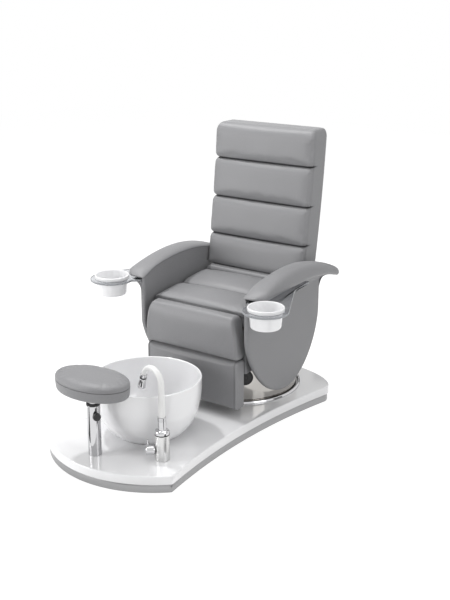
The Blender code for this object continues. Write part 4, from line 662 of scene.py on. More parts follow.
def make_base():
    """Half-round floor ring, mirror drum with a round lip, and its black plug with ring grooves."""
    low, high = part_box("base_ring")
    outer, inner = high.x, high.x - RING_WIDTH
    swing = np.linspace(0.0, math.pi, 17)
    middle, half = (outer + inner) / 2.0, (outer - inner) / 2.0
    dome = np.stack([middle + half * np.cos(swing), low.z + (high.z - low.z) * np.sin(swing)], axis=1)
    dress(turned("floor_ring", dome, count=192), "platform", "chrome", ("base_ring",))
    low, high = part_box("base_drum")
    out = high.x
    wall, under = out - DRUM_SHEET, high.z - DRUM_SHEET
    profile = rounded([(wall, low.z), (out, low.z), (out, high.z), (DRUM_MOUTH, high.z), (DRUM_MOUTH, under),
                       (wall, under)], (0.0006, 0.0025, 0.0006, 0.0006), 5)
    drum = turned("mirror_drum", profile, count=192)
    dress(drum, "chair", "mirror", ("base_drum",))
    face = out + 0.0015
    root = face - PLUG_DEPTH
    rings = [(0.0, root), (PLUG_RADIUS, root), (PLUG_RADIUS, face), (0.0345, face), (0.0335, face - 0.0014),
             (0.0305, face - 0.0014), (0.0295, face - 0.0004), (0.0135, face - 0.0002), (0.0125, face - 0.0012),
             (0.0095, face - 0.0012), (0.0085, face - 0.0003), (0.0, face)]
    plug = turned("drum_plug_cap", rounded(rings, 0.0012, 3), (0.0, 0.0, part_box("drum_plug")[0].z + PLUG_RADIUS),
                  (math.cos(PLUG_HEADING), math.sin(PLUG_HEADING), 0.0), 96)
    dress(plug, "chair", "knob", ("drum_plug",))


def make_basin(settings):
    """Foot basin: r = R sqrt(1 - d^b) from the rim down, walls joined by a round lip, and a domed waste."""
    low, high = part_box("foot_basin")
    lip = settings.wall / 2.0
    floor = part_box("basin_waste")[0].z + 0.014
    foot_share = (settings.foot / settings.radius) ** 2
    full = (high.z - low.z) / (1.0 - foot_share) ** (1.0 / settings.bulge)
    rises = np.sin(np.radians(np.linspace(90.0, 0.0, 56)))

    def bowl(bottom, inset):
        z = high.z - lip - (high.z - lip - bottom) * (1.0 - rises)
        reach = 1.0 - np.maximum(0.0, (high.z - z) / (full - inset)) ** settings.bulge
        return np.stack([(settings.radius - inset) * np.sqrt(np.maximum(0.0, reach)), z], axis=1)

    outside, inside = bowl(low.z, 0.0), bowl(floor, settings.wall)
    swing = np.radians(np.linspace(180.0, 0.0, 9))[1:-1]
    middle, half = (outside[0, 0] + inside[0, 0]) / 2.0, (outside[0, 0] - inside[0, 0]) / 2.0
    rim = np.stack([middle + half * np.cos(swing), high.z - lip + lip * np.sin(swing)], axis=1)
    foot = rounded([outside[-3], outside[-1], (0.08, low.z), (0.023, low.z), (0.023, floor), (0.07, floor),
                    inside[-1], inside[-3]], (0.004, 0.001, 0.001, 0.002, 0.001, 0.020), 5)
    profile = np.concatenate([rim, outside[:-3], foot, inside[-4::-1]])
    basin = turned("basin_bowl", profile, (0.0, settings.y, 0.0), count=192, sharp=60.0)
    dress(basin, "platform", "white", ("foot_basin",))
    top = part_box("basin_waste")[1].z
    fitting = [(0.0, top + 0.0016), (0.014, top + 0.0012), (0.0200, top - 0.0004), (0.0205, top - 0.0016),
               (0.0222, top - 0.0018), (0.0236, top - 0.0002), (0.0310, top), (0.0340, top - 0.0030),
               (0.0340, top - 0.0040), (0.0227, top - 0.0040), (0.0227, low.z), (0.0, low.z)]
    waste = turned("waste_fitting", rounded(fitting, 0.0010, 4), (0.0, settings.y, 0.0), count=96)
    dress(waste, "platform", "chrome", ("basin_waste",))


# Mixer

HANDLE_HEADING = (-math.sqrt(0.5), -math.sqrt(0.5), 0.0)
SPOUT_LINES = 5             # fine lines round the spout's top
LINE_PITCH = 0.0032
LINES_DROP = 0.0180         # lowest line below the spout's top
PIN_RADIUS = 0.0045


def patch(name, centre, axis, radius, turn, spread, start, end, thickness):
    """A strip on a turned surface: P(s, a) = centre + h(s) axis + r (cos a X + sin a Y), then given a thickness."""
    x, y, z = axes(axis)
    angle = turn + spread * np.linspace(-0.5, 0.5, 9)
    height = np.linspace(start, end, 7)
    radii = np.broadcast_to(radius, 7)
    spoke = np.cos(angle)[:, None] * x + np.sin(angle)[:, None] * y
    points = np.asarray(centre) + height[:, None, None] * z + radii[:, None, None] * spoke[None]
    piece = surface(name, points)
    wall = piece.modifiers.new("Thickness", "SOLIDIFY")
    wall.thickness = thickness
    wall.offset = 0.0
    return piece


def make_mixer(settings):
    """Brushed mixer body, black seal, domed collar with a spout tube that has fine lines, round handle and pin."""
    place = (settings.x, settings.y, 0.0)
    out, pipe = settings.barrel, settings.spout
    sleeve("mixer_barrel", "mixer_body", place, out, 0.0010, "platform", "steel")
    sleeve("mixer_gasket", "mixer_seal", place, out, 0.0012, "platform", "rubber")
    low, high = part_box("mixer_spout")
    swing = np.radians(np.linspace(0.0, 90.0, 10))
    dome = np.stack([pipe + 0.0010 + (out - pipe - 0.0010) * np.cos(swing), low.z + 0.0080 + 0.0130 * np.sin(swing)],
                    axis=1)
    lines = np.arange(SPOUT_LINES) * LINE_PITCH + high.z - LINES_DROP
    grooves = np.stack([np.tile([pipe, pipe - 0.0007, pipe - 0.0007, pipe], SPOUT_LINES),
                        (lines[:, None] + np.array([0.0, 0.0003, 0.0011, 0.0014])).reshape(-1)], axis=1)
    neck = rounded([(pipe, high.z - 0.0010), (pipe, high.z), (0.0, high.z)], 0.0010)
    profile = np.concatenate([[(0.0, low.z), (out - 0.0005, low.z), (out, low.z + 0.0006)], dome,
                              [(pipe + 0.0002, low.z + 0.0214), (pipe, low.z + 0.0225)], grooves, neck])
    spout = turned("mixer_collar", profile, place, count=96, sharp=35.0)
    dress(spout, "platform", "chrome", ("mixer_spout",))

    low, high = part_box("mixer_handle")
    centre = (settings.x, settings.y, (low.z + high.z) / 2.0)
    knob = np.array([(0.0, 0.0006), (0.0190, 0.0006), (0.0198, 0.0022), (0.0198, 0.0038), (0.0215, 0.0048),
                     (0.0219, 0.0068), (0.0219, 0.0345), (0.0213, 0.0375), (0.0190, 0.0397), (0.0130, 0.0400),
                     (0.0120, 0.0394), (0.0, 0.0394)]) + (0.0, out)
    knob = rounded(knob, 0.0008, 3)
    handle = turned("mixer_knob", knob, centre, HANDLE_HEADING, 96, sharp=35.0)
    dress(handle, "mixer_handle", "chrome", ("mixer_handle",))
    low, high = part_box("handle_pin")
    pin = rounded([(0.0, low.z), (PIN_RADIUS, low.z), (PIN_RADIUS, high.z), (0.0, high.z)], 0.0016, 5)
    pin = turned("knob_pin", pin, ((low.x + high.x) / 2.0, (low.y + high.y) / 2.0, 0.0), count=48)
    dress(pin, "mixer_handle", "chrome", ("handle_pin",))

    start, bend_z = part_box("gooseneck")[0].z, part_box("mixer_spout")[1].z + settings.rise
    swing = np.linspace(math.pi, settings.droop, 48)
    reach = np.concatenate([np.zeros(24), settings.bend * (1.0 + np.cos(swing))])
    rise = np.concatenate([np.linspace(start, bend_z, 25)[:-1], bend_z + settings.bend * np.sin(swing)])
    heading = np.array([math.cos(settings.heading), math.sin(settings.heading)])
    path = np.column_stack([settings.x + reach * heading[0], settings.y + reach * heading[1], rise])
    radius = np.linspace(settings.foot, settings.tip, len(path))
    neck = tube("hose_neck", path, radius, (-heading[1], heading[0], 0.0), 48)
    dress(neck, "gooseneck", "neck", ("gooseneck",))

    end = path[-1]
    along = np.array([math.sin(settings.droop) * heading[0], math.sin(settings.droop) * heading[1],
                      -math.cos(settings.droop)])
    flare = [(0.0, 0.0004), (0.0137, 0.0004), (0.0145, 0.0014), (0.0145, 0.0210), (0.0132, 0.0222), (0.0132, 0.0244),
             (0.0146, 0.0252), (0.0152, 0.0330), (0.0168, 0.0480), (0.0185, 0.0610), (0.0185, 0.0645), (0.0178, 0.0660),
             (0.0140, 0.0656), (0.0132, 0.0648), (0.0, 0.0648)]
    spray = turned("spray_head", rounded(flare, 0.0012, 3), end, along, 96)
    dress(spray, "gooseneck", "chrome", ("hand_spray",))
    ring = rounded([(0.0125, 0.0140), (0.0151, 0.0140), (0.0151, 0.0205), (0.0125, 0.0205)], 0.0006)
    ring = turned("spray_ring", ring, end, along, 96)
    dress(ring, "gooseneck", "knob")
    flared = 0.0154 + (0.0183 - 0.0154) * np.linspace(0.0, 1.0, 7)
    for name, turn in (("spray_strip_near", 0.35), ("spray_strip_far", 1.35)):
        strip = patch(name, end, along, flared + 0.0002, math.pi * turn, 0.36, 0.030, 0.058, 0.0012)
        dress(strip, "gooseneck", "knob")


# Footrest

UPWARD = (0.0, 0.0, 1.0)
CLAMP_TURN = math.radians(-30.0)
COLUMN_RADIUS = 0.0295
COLUMN_BORE = 0.0265
POST_RADIUS = 0.0215
BUSH_BORE = 0.0219
PLATE_RADIUS = 0.060
PAD_TOE = (0.0125, 0.0085, 0.0052, 0.0026, 0.0010, 0.0002)      # insets of the round lower edge
PAD_TOE_RISE = (0.0003, 0.0012, 0.0030, 0.0060, 0.0100, 0.0140)


def make_footrest_stand(settings):
    """Chrome column with a black strip painted as the shade in its slit, black bush, post, plate and ribbed clamp knob.
    """
    place = (settings.x, settings.y, 0.0)
    sleeve("rest_column", "footrest_column", place, COLUMN_RADIUS, 0.0008, "platform", "chrome", COLUMN_BORE)
    # Painted shade: a thin black strip over the column stands for the dark inside of the clamp's slit
    slit = patch("column_slit", place, UPWARD, COLUMN_RADIUS, CLAMP_TURN, 0.18, 0.2900, 0.3070, 0.0008)
    dress(slit, "platform", "rubber")
    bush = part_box("footrest_bush")[1].x - settings.x
    sleeve("column_bush", "footrest_bush", place, bush, (0.0008, 0.0020), "platform", "rubber", BUSH_BORE)
    sleeve("rest_post", "footrest_post", place, POST_RADIUS, 0.0006, "footrest_post", "chrome")
    sleeve("rest_plate", "footrest_plate", place, PLATE_RADIUS, 0.0012, "footrest_top", "chrome")
    low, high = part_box("clamp_knob")
    knob = rounded([(0.0, 0.0218), (0.0040, 0.0218), (0.0040, 0.0307), (0.0095, 0.0315), (0.0095, 0.0355),
                    (0.0164, 0.0357), (0.0173, 0.0375), (0.0173, 0.0490), (0.0158, 0.0513), (0.0110, 0.0515),
                    (0.0098, 0.0507), (0.0, 0.0509)], 0.0010, 3)
    ribbed = 0.030 * ((knob[:, 1] > 0.0370) & (knob[:, 1] < 0.0495) & (knob[:, 0] > 0.0165))
    clamp = turned("clamp_grip", knob, (settings.x, settings.y, (low.z + high.z) / 2.0),
                   (math.cos(CLAMP_TURN), math.sin(CLAMP_TURN), 0.0), 160, 20, ribbed, 35.0)
    dress(clamp, "clamp_knob", "knob", ("clamp_knob",))


def make_footrest_pad(settings, hide):
    """Oval pad: rings k ((A - d) cos a, (B - d) sin a) at height z.

    The inset d and the height run up a drawn-in side to the seam, then round a shoulder, a quarter of a full ellipse;
    k shrinks to the middle of the flat underside and of the low crown z = top - c k^2.
    """
    low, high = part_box("footrest_pad")
    seam, top, crown = low.z + settings.seam, high.z - 0.002, 0.0015
    up = np.linspace(0.0, 1.0, 14)
    swing = np.linspace(0.0, math.pi / 2.0, 14)
    shrink = np.array([0.0, 0.4, 0.75, 0.95])
    toe = np.array(PAD_TOE)
    k = np.concatenate([shrink, np.ones(len(toe) + len(up) + 3 + len(swing)), shrink[::-1]])
    inward, upward = 1.0 - np.cos(swing) ** 0.85, np.sin(swing) ** 0.85
    d = np.concatenate([np.full(4, settings.taper + 0.015), settings.taper + toe,
                        settings.taper * (1.0 - up) ** 1.6, [0.0012, 0.0030, 0.0012],
                        settings.shoulder * inward, np.full(4, settings.shoulder)])
    foot = low.z + np.array(PAD_TOE_RISE)
    z = np.concatenate([np.full(4, low.z), foot, low.z + 0.0150 + (seam - 0.0016 - low.z - 0.0150) * up,
                        seam + np.array([-0.0009, 0.0, 0.0009]),
                        seam + 0.0030 + (top - crown - seam - 0.0030) * upward,
                        top - crown * shrink[::-1] ** 2])
    on_seam = np.abs(z - seam) < 0.0012
    held = np.maximum((z < low.z + 0.004) * 1.0, on_seam)
    angle = np.linspace(0.0, 2.0 * np.pi, 160, endpoint=False)
    points = np.stack([settings.x + (k * (settings.half_length - d))[:, None] * np.cos(angle),
                       settings.y + (k * (settings.half_width - d))[:, None] * np.sin(angle),
                       np.broadcast_to(z[:, None], (len(k), 160))], axis=-1)
    # Painted shade: 0.5 on the seam rows darkens the pad's seam
    pad = surface("footrest_cushion", points, (False, True), held[:, None], 180.0, 0.5 * on_seam[:, None])
    stuff(pad, hide, hide.firm_swell)
    dress(pad, "footrest_top", "hide", ("footrest_pad",))


# Seat and leg pads

SEAT_CREASES = (-0.122, 0.088, 0.113)
SEAT_CREASE_DEPTHS = (1.0, 0.9, 0.35)       # of the full depth
SEAT_CREASE_LENGTHS = (0.026, 0.020, 0.008)
STRIP_TOP = 0.6385                          # of the narrow strip that the back stands on
SEAT_SHADE_LINE = 0.5815                          # top of the painted shade band on the seat's front, where it meets the roll
SEAT_SECTION = (0.278, 0.095)               # half-width and height of the section that is scaled along the seat
WELT_INSET = 0.0135                         # of the welt from the end of a leg pad
WELT_WIDTH = 0.0017
WELT_DEPTH = 0.0022
FIRM_END = 0.060


def make_seat_cushion(settings, hide):
    """Seat cushion: x = w(y) a and z = u + H(y) b + c (1 - a^2) b^2, with (a, b) a round-cornered section.

    H follows the slope of the seat and the strip behind it, less d exp(-|y - yc| / L) at each sewn crease
    and a round front edge.
    """
    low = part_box("seat_cushion")[0]
    y = spaced(settings.front_y + 0.0006, settings.rear_y, 70, SEAT_CREASES, 0.030)
    away = np.abs(y[:, None] - np.array(SEAT_CREASES))
    dips = np.exp(-away / np.array(SEAT_CREASE_LENGTHS)) * np.array(SEAT_CREASE_DEPTHS)
    dip = dips.max(axis=1)
    # Painted shade: a dark line along each crease of the seat's top
    line = (np.exp(-(away / 0.0042) ** 2) * (0.72, 0.72, 0.5)).max(axis=1)
    slope = (settings.rear_top - settings.front_top) / (settings.rear_y - settings.front_y)
    front_edge = rounding(y - settings.front_y, 0.030)
    rear_edge = rounding(settings.rear_y - y, 0.004)
    strip = smooth((y - SEAT_CREASES[1]) / 0.016)
    level = settings.front_top + slope * (y - settings.front_y) - 0.0025
    top = level + (STRIP_TOP - level) * strip - settings.crease * dip - 0.85 * front_edge - 0.5 * rear_edge
    half = settings.half - 0.005 * dip - 0.4 * front_edge - 0.5 * rear_edge - 0.002
    wide, tall = SEAT_SECTION
    side = rounded([(0.0, 0.0), (wide - 0.007, 0.0), (wide, 0.022), (wide, tall), (0.0, tall)],
                   (0.006, 0.012, 0.034), 8)
    side = resample(side, 72) / SEAT_SECTION
    section = np.concatenate([side, side[-2:0:-1] * (-1.0, 1.0)])
    a, b = section[:, 0], section[:, 1]
    crown = settings.crown * (1.0 - dip ** 2) * (1.0 - strip)
    z = low.z + (top - low.z)[:, None] * b + crown[:, None] * (1.0 - a ** 2) * b ** 2
    points = np.stack([half[:, None] * a, np.broadcast_to(y[:, None], z.shape), z], axis=-1)
    held = np.maximum((np.maximum(dips.max(axis=1), strip) > 0.80)[:, None] * 1.0, (b < 0.25)[None] * 1.0)
    # Painted shade: the seat's front below the shade line, where it meets the knee roll, joins the crease lines
    joint_shade = np.clip((SEAT_SHADE_LINE - z) / 0.005 + 0.5, 0.0, 1.0) * (y < settings.front_y + 0.012)[:, None]
    seam = np.maximum(line[:, None] * (b > 0.5)[None], 0.85 * joint_shade)
    seat = surface("seat_cover", capped(points), (False, True), padded_ends(held), 180.0, padded_ends(seam, 0.0))
    stuff(seat, hide, hide.swell)
    dress(seat, "chair", "hide", ("seat_cushion",))


def across(name, corners, radii, half, end_round, hide, swell, shoulder=(0.0, 0.0), welted=1.0):
    """A (y, z) section carried across X; it shrinks by a round at both ends and by a fine welt just before them.

    A shoulder (draw, z) draws both ends in above a height, as the square of the way up to the top.
    Ends with no welt are held more and more firmly towards the end, so that they fill without folds.
    """
    corners = np.asarray(corners, float)
    section = resample(rounded(np.concatenate([corners, corners[:1]]), radii, 8), 150)[:-1]
    welt = half - WELT_INSET
    x = spaced(-half, half, 56, (-welt, welt, -half, half), 0.016, 17)
    in_welt = welted * np.exp(-((np.abs(x) - welt) / WELT_WIDTH) ** 2)
    fall = rounding(half - np.abs(x), end_round) + WELT_DEPTH * in_welt
    back, top = section.max(axis=0)
    middle = (top + section[:, 1].min()) / 2.0
    front_depth, height = back - section[:, 0].min(), top - middle
    y = back - (back - section[:, 0]) * (1.0 - fall / front_depth)[:, None]
    z = middle + (section[:, 1] - middle) * (1.0 - fall / height)[:, None]
    draw = shoulder[0] * np.clip((z - shoulder[1]) / (top - shoulder[1]), 0.0, 1.0) ** 2
    points = np.stack([x[:, None] * (1.0 - draw / half), y, z], axis=-1)
    firm = (1.0 - welted) * np.clip(1.6 * (1.0 - (half - np.abs(x)) / FIRM_END), 0.0, 1.0)
    held = np.maximum(np.maximum(in_welt > 0.6, firm)[:, None], (section[:, 0] > back - 0.010)[None]) * 1.0
    # Painted shade along the welt's groove
    seam = np.broadcast_to(0.45 * in_welt[:, None], held.shape)
    pad = surface(name, capped(points), (False, True), padded_ends(held), 180.0, padded_ends(seam, 0.0))
    return stuff(pad, hide, swell)


def make_leg_pads(hide):
    """Roll under the knees, which falls forward from the seat's edge, and the flat pad that hangs below it."""
    low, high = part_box("knee_roll")
    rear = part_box("leg_pad")[1].y
    corners = [(rear, 0.46), (rear, 0.546), (high.y, 0.560), (-0.352, high.z + 0.001), (low.y - 0.003, high.z - 0.004),
               (low.y - 0.003, 0.43), (low.y + 0.004, low.z), (rear, low.z)]
    roll = across("knee_cover", corners, (0.006, 0.006, 0.014, 0.080, 0.060, 0.034, 0.008), high.x, 0.016, hide, 0.005,
                  (0.026, 0.42), 0.0)
    dress(roll, "chair", "hide", ("knee_roll",))
    low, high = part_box("leg_pad")
    corners = [(rear, 0.24), (rear, high.z), (low.y + 0.002, high.z), (low.y + 0.002, low.z), (rear, low.z)]
    pad = across("leg_cover", corners, (0.005, 0.022, 0.022, 0.005), high.x, 0.010, hide, hide.firm_swell)
    dress(pad, "chair", "hide", ("leg_pad",))


def make_carcass():
    """Wrapped box under the seat: a round-cornered plan carried up a wall, with a notch in its rear edge."""
    low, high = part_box("seat_carcass")
    wall, notch, drop = 0.018, 0.034, 0.080
    corners = [(0.0, high.y), (low.x, high.y), (low.x, low.y), (high.x, low.y), (high.x, high.y), (0.0, high.y)]
    outer = resample(rounded(corners, 0.012, 6), 601)[:-1]
    inner = np.clip(outer, (low.x + wall, low.y + wall), (high.x - wall, high.y - wall))
    at_rear = np.clip((outer[:, 1] - (high.y - 0.002)) / 0.001, 0.0, 1.0)
    open_rear = at_rear * np.clip((notch - np.abs(outer[:, 0])) / 0.004 + 0.5, 0.0, 1.0)
    top = high.z - drop * open_rear
    rows = [(outer, np.full(600, low.z)), (outer, low.z + 0.004), (outer, low.z + 0.5 * (top - low.z)),
            (outer, top - 0.004), (outer * 0.75 + inner * 0.25, top - 0.0008), (outer * 0.5 + inner * 0.5, top),
            (inner, top), (inner, np.full(600, low.z))]
    points = np.stack([np.column_stack([plan_row, np.broadcast_to(z, 600)]) for plan_row, z in rows])
    box = surface("seat_box", points, (True, True), sharp=60.0)
    dress(box, "chair", "hide", ("seat_carcass",))


# Backrest

BACK_CREASES = (0.794, 0.985, 1.180)
CREASE_REACH = 0.026        # height of a pillow's cheek beside a crease
BORDER = 0.024              # width of the sewn border behind the pillows
CHEEK = 0.015               # round of the pillows' sides
REAR_ROUND = 0.012
PANEL_FRONT = 0.1180        # faces of the rear panel, behind the front of the back
PANEL_REAR = 0.1400
PANEL_WELT = 0.016          # of the panel's welt from its edge
ARM_CLEAR = 0.775           # height above which the pillows stand clear of the arm pads


def back_line(settings, z):
    """Front of the back in side view: a straight lean with a shallow sag."""
    share_up = (z - settings.bottom) / (settings.top - settings.bottom)
    lean = settings.front_y + (z - settings.bottom) * math.tan(settings.lean)
    return lean + settings.sag * 4.0 * share_up * (1.0 - share_up)


def make_back_cushion(settings, hide):
    """Back cushion: level rings with a flat rear and sides, a sewn border, and pillows in front.

    Each point is x = w half + dx and y = f front + (1 - f) rear + dy. Between two creases the front is a
    pillow whose cheeks are quarter circles, d (1 - sqrt(1 - q^2)) with q running from 0 to 1 at the crease.
    """
    top = settings.top + settings.ridge
    z = spaced(settings.bottom + 0.0004, top, 110, BACK_CREASES, 0.030, 41)
    away = np.abs(z[:, None] - np.array(BACK_CREASES)).min(axis=1)
    q = np.clip(1.0 - away / CREASE_REACH, 0.0, 1.0)
    dip = 1.0 - np.sqrt(1.0 - q ** 2)
    edges = np.array([settings.bottom, *BACK_CREASES, top])
    span = np.clip(np.searchsorted(edges, z) - 1, 0, len(edges) - 2)
    within = (z - edges[span]) / (edges[span + 1] - edges[span])
    belly = settings.belly * (1.0 - np.abs(2.0 * within - 1.0) ** 3) * np.clip((z - ARM_CLEAR) / 0.03, 0.0, 1.0)
    line = back_line(settings, z)
    over = rounding(top - z, 0.045)
    under = rounding(z - settings.bottom, 0.012)
    half = settings.half - 0.40 * over - 0.3 * under
    front = line + settings.crease * dip + 0.80 * over + 0.5 * under
    rear = line + settings.thickness - 0.50 * over - 0.3 * under
    swing = np.radians(np.linspace(0.0, 90.0, 14))
    flat = np.linspace(0.0, 1.0, 14)[:-1]
    inward = np.linspace(0.0, 1.0, 14)[::-1][1:]
    turn = np.radians(np.linspace(90.0, 0.0, 6))
    along = np.linspace(0.0, 1.0, 16)[:-1]
    groove = np.array([0.0030, 0.0015, 0.0, -0.0015, -0.0030])
    groove_in = settings.groove * np.array([0.05, 0.55, 1.0, 0.45, -0.10])
    behind, beside, cheeks = len(flat) + len(turn), len(along), len(swing) + len(inward)
    w = np.concatenate([flat, np.ones(len(turn) + beside + len(groove) + len(swing)), inward])
    dx = np.concatenate([-REAR_ROUND * flat, -REAR_ROUND * (1.0 - np.cos(turn)), np.zeros(beside), -groove_in,
                         -CHEEK * (1.0 - np.cos(swing)), -CHEEK * inward])
    f = np.concatenate([np.zeros(behind), along, np.ones(len(groove) + cheeks)])
    dy = np.concatenate([np.zeros(len(flat)), -REAR_ROUND * (1.0 - np.sin(turn)),
                         -REAR_ROUND * (1.0 - along) + (BORDER + 0.004) * along, BORDER + groove,
                         (CHEEK + 0.004) * (1.0 - np.sin(swing)), np.zeros(len(inward))])
    pull = np.concatenate([np.zeros(behind), np.clip((along - 0.62) / 0.38, 0.0, 1.0) ** 2 * 0.45,
                           np.full(len(groove), 0.55), 0.6 + 0.4 * np.sin(swing), np.ones(len(inward))])
    on_front = np.concatenate([np.zeros(behind + beside + len(groove)), np.ones(cheeks)])
    # Painted shade in the groove between the pillows and the border
    groove_shade = np.concatenate([np.zeros(behind + beside), [0.0, 0.35, 0.7, 0.5, 0.15], np.zeros(cheeks)])
    crown = 0.006 * (1.0 - dip)[:, None] * on_front * (1.0 - w ** 2)
    x = w * half[:, None] + dx + (belly[:, None] * on_front - 0.018 * dip[:, None] * pull) * w
    y = f * front[:, None] + (1.0 - f) * rear[:, None] + dy - crown
    right = np.stack([x, y, np.broadcast_to(z[:, None], x.shape)], axis=-1)
    points = np.concatenate([right, right[:, -2:0:-1] * (-1.0, 1.0, 1.0)], axis=1)
    sewn = np.maximum(1.0 - on_front, (dip > 0.55)[:, None] * 1.0)
    # Painted shade: dark lines along the creases and in the border groove
    dark = np.maximum(np.exp(-(away / 0.0044) ** 2)[:, None] * np.clip(2.0 * pull, 0.0, 1.0), groove_shade)
    held, seam = (np.concatenate([half_ring, half_ring[:, -2:0:-1]], axis=1) for half_ring in (sewn, dark))
    back = surface("back_cover_front", capped(points), (False, True), padded_ends(held), 180.0, padded_ends(seam, 0.0))
    stuff(back, hide, hide.swell)
    dress(back, "backrest", "hide", ("back_cushion",))


def make_back_panel(settings):
    """Rear panel: rings in X and Y up the lean, puffed by (1 - u^6)(1 - v^6), with a welt near its edge."""
    low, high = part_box("back_cover")
    z = spaced(low.z, high.z, 80, (low.z + PANEL_WELT, high.z - PANEL_WELT), 0.012, 15)
    line = back_line(settings, z)
    u = np.concatenate([np.linspace(-1.0, -0.86, 22)[:-1], np.linspace(-0.86, 0.86, 40),
                        np.linspace(0.86, 1.0, 22)[1:]])
    v = (2.0 * z - low.z - high.z) / (high.z - low.z)
    corner = rounding(high.z - z, 0.030)
    half = high.x - corner - 0.3 * rounding(z - low.z, 0.010)
    edge = np.minimum(half[:, None] * (1.0 - np.abs(u)), np.minimum(z - low.z, high.z - z)[:, None])
    puff = (1.0 - np.abs(u) ** 6) * (1.0 - np.abs(v) ** 6)[:, None]
    welt = np.exp(-((edge - PANEL_WELT) / 0.0020) ** 2)
    over = 0.008 * np.sqrt(np.clip(edge / 0.010, 0.0, 1.0)) + 0.003 * puff - WELT_DEPTH * welt
    rear = (line + PANEL_REAR)[:, None] + over
    behind = np.stack([half[:, None] * u, rear, np.broadcast_to(z[:, None], rear.shape)], axis=-1)
    ahead = behind[:, ::8].copy()
    ahead[:, :, 1] = (line + PANEL_FRONT)[:, None]
    points = np.concatenate([behind, ahead[:, ::-1]], axis=1)
    panel = surface("back_panel_cover", capped(points), (False, True), sharp=70.0)
    subdivide(panel)
    dress(panel, "backrest", "hide", ("back_cover",))


# Arms

FLARE_START = 0.607         # height at which the panel starts to flare
FLARE_OUT = 0.074
FLARE_FRONT = 0.052         # reach of the flare at the panel's front, under the tray
FLARE_BACK = 0.070
PETAL_TIP_Y = -0.045
PETAL_TOP = 0.460
PETAL_POWERS = (1.4, 1.7)   # of the petal's outline, ahead of its tip and behind it
PANEL_EDGE = 0.0105         # round of the panel's edges
SHOULDER_PEAK = 0.682
SHOULDER_DROPS = (0.013, 0.058)
CROWN_DROPS = (0.062, 0.100)
PAD_OVERHANG = 0.008        # of the pad past both ends of the panel
PAD_END = 0.050             # length of the pad's round ends
DRUM_CLEAR = 0.3013         # radius of the inner face round the drum
DRUM_CLEAR_TOP = 0.2850
SLOT_Y = 0.0403             # rear, underside and inner end of the slot for the tray
SLOT_Z = 0.6547
SLOT_X = 0.3015
TOUCH = 0.0003              # gap between pieces that rest on each other


def arch(y, peak_y, peak, front_y, front_drop, rear_y, rear_drop):
    """Height along an arm: two parabolas that meet at a peak."""
    ahead = y < peak_y
    reach = np.where(ahead, front_y - peak_y, rear_y - peak_y)
    return peak - np.where(ahead, front_drop, rear_drop) * ((y - peak_y) / reach) ** 2


def shoulder(settings, y):
    """Height of the panel's top under the pad."""
    ahead, behind = SHOULDER_DROPS
    return arch(y, 0.0, SHOULDER_PEAK, settings.front_y, ahead, settings.rear_y + FLARE_BACK, behind)


def pad_ends(settings):
    """Y of the arm pad's front and rear."""
    return settings.front_y - PAD_OVERHANG, settings.rear_y + FLARE_BACK + PAD_OVERHANG


def pad_section(settings, y):
    """Along Y: the arm pad's underside, its height, the height of its inner seam, and how round its ends are."""
    front, rear = pad_ends(settings)
    at_nose = np.clip(1.0 - (y - front) / PAD_END, 0.0, 1.0)
    at_tail = np.clip(1.0 - (rear - y) / PAD_END, 0.0, 1.0)
    full = np.sqrt(np.maximum(0.02, 1.0 - np.maximum(at_nose, at_tail) ** 2))
    bottom = shoulder(settings, y) + TOUCH + 0.008 * at_nose ** 1.5 + 0.008 * at_tail ** 4
    crown = arch(y, -0.060, settings.pad_peak, front, CROWN_DROPS[0], rear, CROWN_DROPS[1])
    height = (crown - bottom) * (0.50 + 0.50 * full)
    seam = settings.seam * height * (1.0 - np.clip(1.0 - (y - front) / 0.110, 0.0, 1.0) ** 2)
    return bottom, height, seam, full, at_tail


